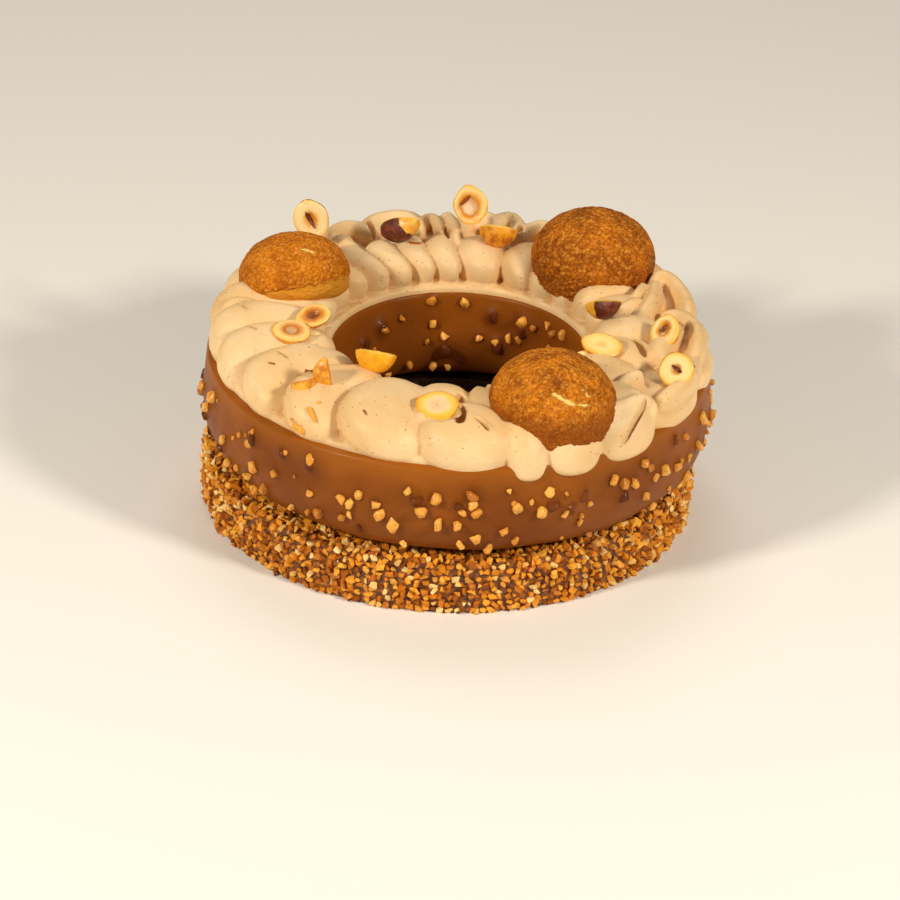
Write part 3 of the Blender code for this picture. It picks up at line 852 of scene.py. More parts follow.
@dataclass
class GlazedRing:
    """The glazed ring: a ring mould's form in milk chocolate, with chopped nuts in the glaze."""

    top: float = 0.0590
    foot: float = 0.0218
    widest: float = 0.0430
    outer: float = 0.0928
    outer_top: float = 0.0916
    outer_foot: float = 0.0775
    inner: float = 0.0442
    inner_top: float = 0.0463
    inner_foot: float = 0.0575
    fullness: float = 2.3
    steps: int = 640
    back_bits: int = 84
    hidden_bits: int = 30
    slivers: int = 30
    back_coated: int = 16
    seed: int = 31

    def _radii(self, inside: bool) -> tuple[float, float, float]:
        """Radius of the outer or inner wall at its waist, its foot and its top edge."""
        if inside:
            return self.inner, self.inner_foot, self.inner_top
        return self.outer, self.outer_foot, self.outer_top

    def wall(self, height: float, inside: bool) -> float:
        """Radius of the outer or inner wall at a height."""
        widest, foot, edge = self._radii(inside)
        if height > self.widest:
            return widest + (edge - widest) * (height - self.widest) / (self.top - self.widest)
        down = min(1.0, (self.widest - height) / (self.widest - self.foot))
        return foot + (widest - foot) * (1.0 - down ** self.fullness) ** (1.0 / self.fullness)

    def _wall_points(self, inside: bool, upper: int, lower: int) -> list[tuple[float, float]]:
        """Points of one wall from its top edge down to its foot."""
        sign = 1.0 if inside else -1.0
        widest, foot, top = self._radii(inside)
        soft = 0.0012
        points = [(top + sign * soft, self.top), (top + sign * soft * 0.3, self.top - soft * 0.3)]
        first = self.top - soft
        heights = [first - (first - self.widest) * step / upper for step in range(upper)]
        points += [(self.wall(height, inside), height) for height in heights]
        power = 2 / self.fullness
        for step in range(lower + 1):
            turn = math.radians(90 * step / lower)
            points.append((foot + (widest - foot) * abs(math.cos(turn)) ** power,
                           self.widest - (self.widest - self.foot) * abs(math.sin(turn)) ** power))
        return points

    def _bits(self) -> Iterator[tuple[float, float, float, bool]]:
        """List every chopped nut as angle, height, size and whether it is on the inner wall."""
        draw = random.Random(self.seed)
        for angle, height, size in OUTSIDE_BITS:
            yield angle, height * MM, size * MM, False
        for angle, height, size in INSIDE_BITS:
            yield angle, height * MM, size * MM, True
        for _ in range(self.back_bits):
            size = draw.uniform(2.4, 5.0) * MM
            yield draw.uniform(-14, 196), draw.triangular(0.0255, 0.0530, 0.038), size, False
        for _ in range(self.hidden_bits):
            size = draw.uniform(2.4, 4.6) * MM
            yield draw.uniform(152, 388), draw.uniform(0.027, 0.055), size, True
        for _ in range(self.slivers):
            size = draw.uniform(1.2, 2.0) * MM
            yield draw.uniform(0, 360), draw.uniform(0.0255, 0.054), size, False

    def _coated_bits(self) -> list[tuple[float, float, float, bool]]:
        """List every nut that the glaze covers, in the same way."""
        coated = [(angle, height * MM, size * MM, inner) for angle, height, size, inner in COATED_BITS]
        draw = random.Random(self.seed + 1)
        for _ in range(self.back_coated):
            angle, height = draw.uniform(-10, 195), draw.uniform(0.028, 0.052)
            coated.append((angle, height, draw.uniform(3.5, 5) * MM, False))
        return coated

    def build(self) -> None:
        """Build the glazed body, the bits and the coated bits."""
        outside = self._wall_points(False, 18, 30)
        inside = self._wall_points(True, 16, 26)
        form = spin_section(outside + inside[::-1], self.steps)
        mesh = to_mesh(form, "glazed_ring")
        self._pour(mesh)
        bits = list(self._bits())
        coated = self._coated_bits()
        # How near a nut each vertex lies, for the painted shade round each nut.
        nut_shade = [0.0] * len(mesh.vertices)
        self._raise_round(mesh, bits, 0.20, 0.62, nut_shade)
        self._raise_round(mesh, coated, 0.30, 0.62, nut_shade)
        write_mark(mesh, "nut_shade", nut_shade)
        mesh.shade_smooth()
        piece = new_piece("glazed_ring", mesh, GlazeFinish().build())
        serve(piece, ["chocolate_ring"])
        golden = NutBitFinish("glaze_nut", tone(246, 186, 84), tone(224, 146, 48), tone(164, 90, 24),
                              0.34, 0.30)
        self._embed("glaze_nut_bits", bits, golden.build(), 41, 0.16)
        dark = GlazeFinish("coated_nut", tone(118, 58, 22), tone(84, 38, 18), tone(160, 84, 32), 0.24)
        self._embed("glaze_coated_bits", coated, dark.build(), 43, 0.10)

    def _pour(self, mesh: bpy.types.Mesh) -> None:
        """Make the glaze as uneven as a poured one, more so on its lower half."""
        normals = [vertex.normal.copy() for vertex in mesh.vertices]
        for vertex, normal in zip(mesh.vertices, normals):
            place = vertex.co
            low = 1.0 - ease(place.z, 0.030, 0.046)
            wave = noise.noise(place * 48.0) * (0.00035 + 0.00035 * low)
            drip = noise.noise(Vector((place.x * 120, place.y * 120, place.z * 40))) * 0.00014
            if place.z < self.foot + 0.0006 or place.z > self.top - 0.0008:
                continue
            vertex.co = place + normal * (wave + drip)

    def _raise_round(self, mesh: bpy.types.Mesh, bits: Iterable[tuple[float, float, float, bool]],
                     lift: float, spread: float, nut_shade: list[float]) -> None:
        """Let the glaze climb onto each nut, and note where it does.

        Args:
            mesh: the glaze.
            bits: the nuts.
            lift: how high it climbs, as a share of the nut's size.
            spread: how far around it, as a share of the nut's size.
            nut_shade: how near a nut each vertex is, from 0 to 1, written to here; the finish paints shade
                there.
        """
        tree = kdtree.KDTree(len(mesh.vertices))
        for vertex in mesh.vertices:
            tree.insert(vertex.co, vertex.index)
        tree.balance()
        normals = [vertex.normal.copy() for vertex in mesh.vertices]
        for angle, height, size, inside in bits:
            place = around(angle, self.wall(height, inside), height)
            reach = size * spread
            for _, index, distance in tree.find_range(place, reach * 2.2):
                near = math.exp(-(distance / reach) ** 2)
                mesh.vertices[index].co += normals[index] * lift * size * near
                nut_shade[index] = max(nut_shade[index], near)

    def _embed(self, name: str, bits: Iterable[tuple[float, float, float, bool]],
               material: bpy.types.Material, seed: int, proud: float) -> None:
        """Press the nuts into the glaze.

        Args:
            name: the piece's name.
            bits: the nuts.
            material: their material.
            seed: seed of the pile.
            proud: how far a nut's middle stands out, as a share of its size.
        """
        pile = ChunkPile(seed, 8, 18, 0.22)
        for angle, height, size, inside in bits:
            out = -1.0 if inside else 1.0
            place = around(angle, self.wall(height, inside) + out * size * proud, height)
            wide, deep = pile.draw.uniform(0.58, 0.85), pile.draw.uniform(0.55, 0.75)
            lie = Matrix.Rotation(math.radians(angle), 4, "Z")
            lean = Matrix.Rotation(pile.draw.uniform(-0.7, 0.7), 4, "X")
            sizes = (size * 0.90 * deep, size * 0.75 * wide, size * 0.68)
            pile.add(place, sizes, lie @ lean, pile.draw.betavariate(2.2, 1.6))
        piece = pile.piece(name, material, flat=False)
        shade_with_edges(piece.data, 52)
        serve(piece, ["chocolate_ring"])


@dataclass(frozen=True)
class Strand:
    """One stroke of the piping nozzle, or a slit left between strokes.

    Attributes:
        path: its middle line as angle, radius in mm and height in mm.
        wide: half its width in mm.
        tall: half its height in mm.
    """

    path: tuple[tuple[float, float, float], ...]
    wide: float
    tall: float

    def spot(self, share: float) -> Vector:
        """Give the middle line's place at a share from 0 to 1 of its length."""
        spots = [around(angle, radius * MM, height * MM) for angle, radius, height in self.path]
        reach = share * (len(spots) - 1)
        first = min(len(spots) - 2, int(reach))
        step = reach - first
        before = spots[first - 1] if first else spots[0] * 2 - spots[1]
        after = spots[first + 2] if first + 2 < len(spots) else spots[-1] * 2 - spots[-2]
        start, end = spots[first], spots[first + 1]
        slope_in, slope_out = (end - before) * 0.5, (after - start) * 0.5
        square, cube = step * step, step ** 3
        return (start * (2 * cube - 3 * square + 1) + slope_in * (cube - 2 * square + step)
                + end * (3 * square - 2 * cube) + slope_out * (cube - square))

    def shape(self, form: bmesh.types.BMesh, fullness: float = 6.0, rings: int = 30,
              sides: int = 18) -> None:
        """Bend a ball along the path.

        Args:
            form: the bmesh that gets the strand.
            fullness: how blunt the ends are.
            rings: rings along the strand.
            sides: sides of its section.
        """
        ball = bmesh.new()
        bmesh.ops.create_uvsphere(ball, u_segments=sides, v_segments=rings, radius=1.0,
                                  matrix=Matrix.Rotation(math.pi / 2, 4, "Y"))
        for vertex in ball.verts:
            along, across, up = vertex.co
            share = (math.asin(max(-1.0, min(1.0, along))) / math.pi) + 0.5
            middle = self.spot(share)
            ahead = self.spot(min(1.0, share + 0.02)) - self.spot(max(0.0, share - 0.02))
            side = Vector((-ahead.y, ahead.x, 0.0)).normalized()
            width = math.hypot(across, up)
            full = 0.0
            if width > 0.0001:
                full = (1.0 - abs(2 * share - 1) ** fullness) ** 0.5 / width
            vertex.co = middle + side * (across * full * self.wide * MM)
            vertex.co.z += up * full * self.tall * MM
        append_form(form, ball)


# Strokes of the nozzle that stand out on the back, on the right and at the front: the path, then half the
# width and half the height in mm
STRANDS = (
    (((128, 77, 67), (125.5, 85, 67.5), (121, 88, 67.5), (117.5, 86, 67), (116, 78, 67)), 3.4, 5.0),
    (((127, 66, 67.5), (126.5, 74, 68.3), (125, 80, 68)), 4.4, 5.0),
    (((117, 79, 67), (113.5, 86, 68), (108, 88.3, 68.3), (103.5, 86, 68), (102, 78, 67)),
     4.6, 5.4),
    (((102.5, 74, 67), (101, 83, 68), (98.5, 86, 68.3), (96.8, 82, 68), (96.5, 70, 67)), 2.2, 4.6),
    (((97, 82, 67), (94.5, 87, 68), (93, 81, 69), (92, 71, 69), (93, 60, 67)), 2.6, 4.8),
    (((91, 77, 67), (89.5, 85, 68), (85.5, 87.5, 68.3), (82, 84, 68), (82, 76, 67)), 3.6, 5.0),
    (((82, 78, 67), (81, 86, 68), (78, 88, 68.3), (75.5, 83, 68), (75.5, 74, 67)), 3.3, 5.2),
    (((73.5, 74, 67), (73, 82, 67.5), (70.3, 87, 68), (67.3, 85, 68), (66, 77, 67)), 3.1, 5.0),
    (((76.5, 70, 69), (74.5, 74, 70), (73, 77, 69.5)), 1.2, 3.4),
    (((23, 77, 68.5), (28, 82.5, 69.5), (25.5, 85.5, 69.5), (19, 85.8, 69), (12, 85, 68.5),
      (6, 83, 68)), 3.5, 5.6),
    (((26, 79, 69), (22.5, 77.0, 69.5), (17, 73.5, 69.5), (11, 69.0, 69), (3, 63, 68)), 3.3, 5.4),
    (((17, 66, 70), (21, 70, 70.5), (26, 75, 70)), 2.2, 4.0),
    (((10, 57, 69), (14, 64, 69.5), (17, 69, 69)), 3.2, 4.6),
    (((9, 73, 68), (7, 80, 68.5), (2, 84, 69), (357, 86, 69.3), (351, 87, 69), (344, 87, 68.5)),
     3.8, 5.4),
    (((4, 73, 68), (359, 76.5, 69), (353, 75.5, 69.2), (347, 74, 69), (341, 75, 68.5)), 4.8, 5.2),
    (((348, 86, 67), (342, 88, 67.5), (336, 89, 67), (329, 88.5, 66.5), (322, 88, 66)), 3.6, 4.6),
    (((299, 83, 69), (307, 85.5, 70.3), (313, 86.5, 70.8), (318, 87.3, 70.4), (320, 89.5, 67.5),
      (317.5, 92, 63.5)), 2.7, 4.2),
    (((317, 76, 69.5), (318, 82, 70.5), (318.5, 88, 70)), 2.0, 4.2),
    (((319, 74, 69.5), (324, 75, 70.5), (329, 76.5, 70)), 2.2, 4.6),
    (((272.5, 86, 69.5), (274, 80, 70.5), (276, 83, 70.6), (279, 88, 69)), 2.4, 4.2),
    (((262, 60, 68.5), (262.5, 70, 70), (262, 80, 69.5)), 5.4, 4.4),
    (((176, 88, 68), (176.5, 80, 70), (180, 74, 70.6), (187, 67, 70)), 3.0, 4.6),
)

# Slits, hollows and marks that the nozzle left, in the same way
SLITS = (
    (((262.6, 70, 77.5), (265.5, 78, 76.6), (266.5, 84, 76.2)), 8.6, 4.4),
    (((334, 74, 76.5), (332.5, 81, 76.5), (331.5, 90, 76.0)), 7.6, 4.0),
    (((23.5, 83.5, 74.5), (18, 80.5, 74), (12.5, 76.5, 73.5), (4, 70.5, 73)), 0.95, 5.5),
    (((1.5, 82.5, 75), (356.5, 81.8, 74.5), (350.5, 80.5, 74)), 1.15, 5.0),
    (((346.3, 84, 75.2), (341, 85.5, 75)), 0.8, 2.4),
    (((318.5, 89.0, 73.0), (313.5, 91.5, 69.5), (309.0, 93.6, 65.5), (304.5, 95.0, 62.5)),
     1.0, 4.2),
    (((339.5, 72, 73.5), (335, 72.5, 73), (330, 77, 73), (327, 84, 74)), 2.2, 6.5),
    (((352, 61, 72), (346.5, 66.5, 72), (340, 71, 73)), 1.9, 5.5),
    (((329, 70.5, 76), (332.5, 76, 75), (328, 80, 75)), 1.2, 4.5),
    (((279, 46, 70), (279.5, 51, 70.5), (280.3, 58, 72)), 1.9, 4.4),
    (((274.3, 81, 75), (276.3, 84.5, 74.6), (277.6, 87.5, 74)), 0.9, 3.0),
    (((278.3, 88.5, 73.8), (279.3, 91, 71), (280.5, 93, 67)), 0.85, 2.2),
    (((271.5, 71, 73), (271, 79, 73), (270.6, 85, 73.8)), 1.9, 5.5),
    (((271.2, 60, 72.5), (270.5, 68, 73)), 1.6, 4.6),
    (((263.4, 90, 66.5), (264.5, 95, 62.5)), 1.2, 2.0),
    (((178, 83, 76.0), (181.5, 79, 76.0), (184.6, 76.8, 76)), 0.8, 2.0),
    (((192, 79, 76.0), (197, 76, 75.7)), 0.7, 2.0),
    (((212.2, 82, 76.2), (215.8, 79.8, 76.0)), 0.8, 2.2),
    (((210.2, 74.7, 75.8), (215, 73.4, 75.5)), 0.6, 2.0),
    (((246.4, 85, 76.0), (249.4, 89.5, 75.0)), 0.75, 2.2),
    (((243, 56, 75), (243.8, 49, 74.2)), 1.1, 2.8),
    (((99.2, 83, 71), (98.8, 77, 71.5), (98.4, 71, 72)), 1.6, 6.0),
    (((95.2, 79, 72), (95, 71, 72), (95, 64, 73)), 1.1, 6.0),
    (((87, 79, 72), (86.5, 71, 72)), 2.3, 6.0),
    (((74.4, 82, 72), (74.2, 74, 72)), 1.3, 6.0),
    (((65.5, 85, 72), (64.6, 76, 72)), 1.2, 5.0),
    (((115.6, 86, 71), (115, 79, 71.5), (114.4, 72, 73)), 1.2, 5.0),
)


@dataclass
class PipedCream:
    """The piped praline cream: a thin layer, the turns of the nozzle and the slits between them."""

    bottom: float = 0.0570
    layer_top: float = 0.0612
    inner: float = 0.0468
    outer: float = 0.0890
    top: float = 0.0745
    foot: float = 0.0525
    fullness: float = 2.5
    voxel: float = 0.00066
    most_triangles: int = 192000
    seed: int = 13
    petals: tuple[float, float] = (170, 263)
    hanging: tuple[float, float] = (280, 322)
    under_strands: tuple[float, float] = (62, 130)
    swept: tuple[float, float] = (58, 172)
    outer_edges: tuple[float, ...] = (
        -17, 2, 16, 30, 44, 58, 73, 86, 96, 106, 117, 129, 141, 153, 165, 178, 192, 207, 223, 240, 263,
        282, 291, 304, 321, 343)
    inner_edges: tuple[float, ...] = (
        -8, 9, 24, 36, 48, 60, 75, 92, 103, 113, 124, 135, 147, 160, 174, 190, 207, 224, 240, 256, 274,
        288, 303, 318, 335, 352)

    def build(self) -> bvhtree.BVHTree:
        """Build the cream and give the tree of its surface."""
        piece = new_piece("piped_cream", self._turns_mesh())
        remesh = piece.modifiers.new("Join", "REMESH")
        remesh.mode = "VOXEL"
        remesh.voxel_size = self.voxel
        apply_modifiers(piece)
        self._relax(piece, 1)
        self._cut_slits(piece)
        self._thin(piece)
        self._relax(piece, 1)
        self._knead(piece.data)
        # Mark the creases for their painted shade.
        self._mark_crease_shade(piece.data)
        piece.data.shade_smooth()
        piece.data.materials.clear()
        piece.data.materials.append(CreamFinish().build())
        serve(piece, ["praline_cream"])
        corners = [vertex.co for vertex in piece.data.vertices]
        return bvhtree.BVHTree.FromPolygons(corners, [face.vertices for face in piece.data.polygons])

    def _turns_mesh(self) -> bpy.types.Mesh:
        """Collect the layer and all the turns as overlapping closed forms."""
        soft = 0.0008
        form = spin_section((
            (self.outer - soft, self.layer_top), (self.outer, self.layer_top - soft),
            (self.outer, self.bottom), (self.inner, self.bottom), (self.inner, self.layer_top - soft),
            (self.inner + soft, self.layer_top)), 240)
        draw = random.Random(self.seed)
        self._outer_turns(form, draw)
        self._inner_turns(form, draw)
        for stroke in STRANDS:
            Strand(*stroke).shape(form)
        return to_mesh(form, "piped_cream")

    def _outer_turns(self, form: bmesh.types.BMesh, draw: random.Random) -> None:
        """Pipe the turns along the outer rim, some of them broad petals, some hanging over the edge."""
        for edges in zip(self.outer_edges, self.outer_edges[1:]):
            middle = sum(edges) / 2
            start, lean, hang, curl = 0.0630, draw.uniform(-0.0006, 0.0006), 0.0, 0.0
            overlap, tip = 1.30, 0.0
            end = 0.0926 + draw.uniform(-0.0008, 0.0006)
            high = self.top + draw.uniform(-0.0010, 0.0008)
            if self.petals[0] <= middle <= self.petals[1]:
                start, lean, curl, overlap, tip = 0.0500, 0.0046, -4.0, 1.16, 0.0040
                end -= 0.0012
            if self.hanging[0] <= middle <= self.hanging[1]:
                hang, end = 0.0042, end + 0.0020
            if middle < 30 or middle > 330:
                high -= 0.0060
            if self.under_strands[0] < middle < self.under_strands[1]:
                high -= 0.0080
            self._turn(form, edges, (start, end), (self.foot, high), lean=lean, hang=hang,
                       overlap=overlap, curl=curl, tip=tip)

    def _inner_turns(self, form: bmesh.types.BMesh, draw: random.Random) -> None:
        """Pipe the narrow pillows along the inner rim."""
        for edges in zip(self.inner_edges, self.inner_edges[1:]):
            middle = sum(edges) / 2
            start = 0.0476 + draw.uniform(-0.0004, 0.0008)
            high = self.top - 0.0006 + draw.uniform(-0.0010, 0.0006)
            curl, overlap, foot = 0.0, 1.20, 0.0550
            if self.swept[0] < middle < self.swept[1]:
                curl, overlap, foot = 3.6, 1.10, 0.0580
            self._turn(form, edges, (start, 0.0740), (foot, high), overlap=overlap, curl=curl)

    def _turn(self, form: bmesh.types.BMesh, edges: tuple[float, float], reach: tuple[float, float],
              heights: tuple[float, float], lean: float = 0.0, hang: float = 0.0, overlap: float = 1.30,
              curl: float = 0.0, tip: float = 0.0) -> None:
        """Shape one turn as a ball stretched between two angles and two radii.

        Args:
            form: the bmesh that gets the turn.
            edges: its two angles.
            reach: its inner and outer radius.
            heights: its lowest and highest point.
            lean: how much higher the side of the smaller angle is.
            hang: how far its outer end hangs down.
            overlap: how far it runs into its neighbours.
            curl: how far its two ends are swept to smaller angles, in degrees.
            tip: how much further its outer end reaches at the smaller angle.
        """
        ball = bmesh.new()
        bmesh.ops.create_uvsphere(ball, u_segments=40, v_segments=26, radius=1.0,
                                  matrix=Matrix.Rotation(math.pi / 2, 4, "Y"))
        power = 2 / self.fullness
        half_angle = (edges[1] - edges[0]) / 2 * overlap
        for vertex in ball.verts:
            along, across, up = vertex.co
            radius = reach[0] + (reach[1] - reach[0]) / 2 * (1.0 + bend(along, power))
            radius -= tip * across * max(0.0, along)
            angle = sum(edges) / 2 + half_angle * bend(across, power) - curl * along * along
            height = heights[0] + (heights[1] - heights[0]) / 2 * (1.0 + bend(up, power)) - lean * across
            vertex.co = around(angle, radius, height - hang * max(0.0, along) ** 2)
        append_form(form, ball)

    @staticmethod
    def _cut_slits(piece: bpy.types.Object) -> None:
        """Cut the slits and hollows out of the joined cream."""
        form = bmesh.new()
        for slit in SLITS:
            Strand(*slit).shape(form, fullness=3.0, rings=20, sides=12)
        cutter = new_piece("slit_cutter", to_mesh(form, "slit_cutter"))
        boolean = piece.modifiers.new("Slits", "BOOLEAN")
        boolean.operation = "DIFFERENCE"
        boolean.object = cutter
        boolean.solver = "MANIFOLD"
        apply_modifiers(piece)
        bpy.data.meshes.remove(cutter.data)

    @staticmethod
    def _relax(piece: bpy.types.Object, rounds: int) -> None:
        """Soften the joined forms, as cream does."""
        form = bmesh.new()
        form.from_mesh(piece.data)
        for _ in range(rounds):
            bmesh.ops.smooth_vert(form, verts=form.verts, factor=0.5, use_axis_x=True, use_axis_y=True,
                                  use_axis_z=True)
        form.to_mesh(piece.data)
        form.free()

    def _thin(self, piece: bpy.types.Object) -> None:
        """Merge faces where the cream is flat, down to the most that a piece may have."""
        piece.data.calc_loop_triangles()
        count = len(piece.data.loop_triangles)
        if count > self.most_triangles:
            thin = piece.modifiers.new("Thin", "DECIMATE")
            thin.ratio = self.most_triangles / count
            apply_modifiers(piece)

    def _knead(self, mesh: bpy.types.Mesh) -> None:
        """Give the cream the small unevenness of soft piping."""
        normals = [vertex.normal.copy() for vertex in mesh.vertices]
        for vertex, normal in zip(mesh.vertices, normals):
            place = vertex.co
            if place.z < self.layer_top:
                continue
            wave = noise.noise(place * 85.0) * 0.00040 + noise.noise(place * 260.0) * 0.00011
            vertex.co = place + normal * wave

    @staticmethod
    def _mark_crease_shade(mesh: bpy.types.Mesh) -> None:
        """Mark how deep each point lies in a crease between the turns, where the finish paints shade."""
        form = bmesh.new()
        form.from_mesh(mesh)
        form.verts.ensure_lookup_table()
        near = [[edge.other_vert(vertex).index for edge in vertex.link_edges] for vertex in form.verts]
        depths = []
        for vertex, others in zip(form.verts, near):
            middle = sum((form.verts[index].co for index in others), Vector()) / len(others)
            away = middle - vertex.co
            spacing = (form.verts[others[0]].co - vertex.co).length + 1e-6
            depths.append(ease(away.dot(vertex.normal) / spacing, 0.02, 0.16))
        for _ in range(2):
            depths = [max(depth, 1.1 * sum(depths[index] for index in others) / len(others))
                      for depth, others in zip(depths, near)]
        write_mark(mesh, "crease_shade", [min(1.0, depth) for depth in depths])
        form.free()


@dataclass
class ChouxBun:
    """A small choux bun under its craquelin.

    Attributes:
        name: the CAD node that it replaces.
        place: the middle of its widest circle.
        radius: the radius of that circle.
        lean: how its top leans.
        finish: its material's finish.
        cracks: pale cracks as lines of directions from the middle, with a half width.
        under: how high the bare pale underside reaches, from -1 to 1.
        under_side: the side on which it reaches higher.
        seed: seed of its unevenness.
        crown: how high the top is, as a share of the radius.
        belly: how deep the underside is, as a share of the radius.
    """

    name: str
    place: tuple[float, float, float]
    radius: float
    lean: tuple[float, float]
    finish: ChouxFinish
    cracks: tuple[tuple[tuple[float, float, float], tuple[float, float, float], float], ...] = ()
    under: float = -0.62
    under_side: tuple[float, float] = (0.0, 0.0)
    seed: int = 1
    crown: float = 0.78
    belly: float = 0.46

    def build(self) -> None:
        """Build the bun."""
        form = bmesh.new()
        bmesh.ops.create_icosphere(form, subdivisions=7, radius=1.0)
        cracks, unders = [], []
        for vertex in form.verts:
            local = vertex.co.copy()
            crack = self._crack(local)
            under = self._under(local)
            cracks.append(crack)
            unders.append(under)
            vertex.co = self._form(local) * (1.0 + self._relief(local, crack, under))
        tilt = Matrix.Rotation(-self.lean[1], 4, "X") @ Matrix.Rotation(self.lean[0], 4, "Y")
        form.transform(Matrix.Translation(self.place) @ tilt)
        mesh = to_mesh(form, self.name + "_craquelin")
        write_mark(mesh, "crack", cracks)
        write_mark(mesh, "under", unders)
        mesh.shade_smooth()
        piece = new_piece(self.name + "_craquelin", mesh, self.finish.build())
        serve(piece, [self.name])

    def _form(self, local: Vector) -> Vector:
        """Give a bun's place for a direction: a round crown over a shallow belly."""
        x, y, z = local
        if z >= 0.0:
            return Vector((x, y, self.crown * z)) * self.radius
        spread = (1.0 - abs(z) ** 3) ** 0.25 / max(0.00001, math.hypot(x, y))
        return Vector((x * spread, y * spread, self.belly * bend(z, 0.7))) * self.radius

    def _crack(self, local: Vector) -> float:
        """Tell how much a direction lies in a crack, from 0 to 1."""
        most = 0.0
        for start, end, half in self.cracks:
            first, last = Vector(start), Vector(end)
            line = last - first
            share = min(1.0, max(0.0, (local - first).dot(line) / line.length_squared))
            wobble = noise.noise(local * 16.0 + Vector((self.seed, 0.0, 0.0))) * 0.030
            gap = (local - first - line * share).length + wobble
            taper = 1.0 - 0.6 * abs(2 * share - 1)
            most = max(most, 1.0 - ease(gap, half * taper * 0.55, half * taper * 1.25))
        return most

    def _under(self, local: Vector) -> float:
        """Tell how much a direction lies on the bare underside, from 0 to 1."""
        side = local.x * self.under_side[0] + local.y * self.under_side[1]
        wobble = noise.noise(local * 7.0 + Vector((0.0, self.seed, 0.0))) * 0.07
        return 1.0 - ease(local.z - side + wobble, self.under - 0.03, self.under + 0.03)

    def _relief(self, local: Vector, crack: float, under: float) -> float:
        """Give the craquelin's unevenness as a share of the radius."""
        shift = Vector((self.seed * 3.0, 0.0, self.seed * 1.0))
        lumps = noise.noise(local * 3.2 + shift) * 0.016 + noise.noise(local * 8.0 + shift) * 0.010
        sand = noise.noise(local * 22.0 + shift) * 0.012 + noise.noise(local * 44.0 + shift) * 0.007
        bare = max(crack, under)
        return lumps + sand * (1.0 - bare) - 0.018 * crack - 0.012 * under


# Each finish sets how much painted shade darkens its bun towards the bottom.
BUNS = (
    ChouxBun("choux_bun_1", (-0.0616, 0.0262, 0.0735), 0.0205, (-0.10, 0.34),
             ChouxFinish("craquelin_bright", golden=tone(230, 138, 24), toasted=tone(170, 88, 10),
                         patch=0.45, bottom_shade=0.0),
             (((0.21, -0.70, 0.68), (0.40, -0.69, 0.60), 0.050),), -0.22, (0.20, -0.06), 5),
    ChouxBun("choux_bun_2", (0.0487, 0.0500, 0.0735), 0.0230, (0.0, -0.05),
             ChouxFinish("craquelin_brown", golden=tone(218, 124, 20), toasted=tone(140, 70, 8), patch=0.50),
             seed=9),
    ChouxBun("choux_bun_3", (0.0335, -0.0630, 0.0720), 0.0226, (0.05, -0.08),
             ChouxFinish("craquelin_cracked", golden=tone(230, 136, 22), toasted=tone(142, 70, 8),
                         patch=0.46, bottom_shade=0.80),
             (((-0.06, -0.65, 0.75), (0.13, -0.74, 0.66), 0.040),
              ((0.11, -0.74, 0.66), (0.31, -0.74, 0.59), 0.055),
              ((0.31, -0.74, 0.59), (0.52, -0.67, 0.54), 0.040),
              ((0.40, -0.50, 0.76), (0.50, -0.56, 0.66), 0.032)),
             seed=14),
)


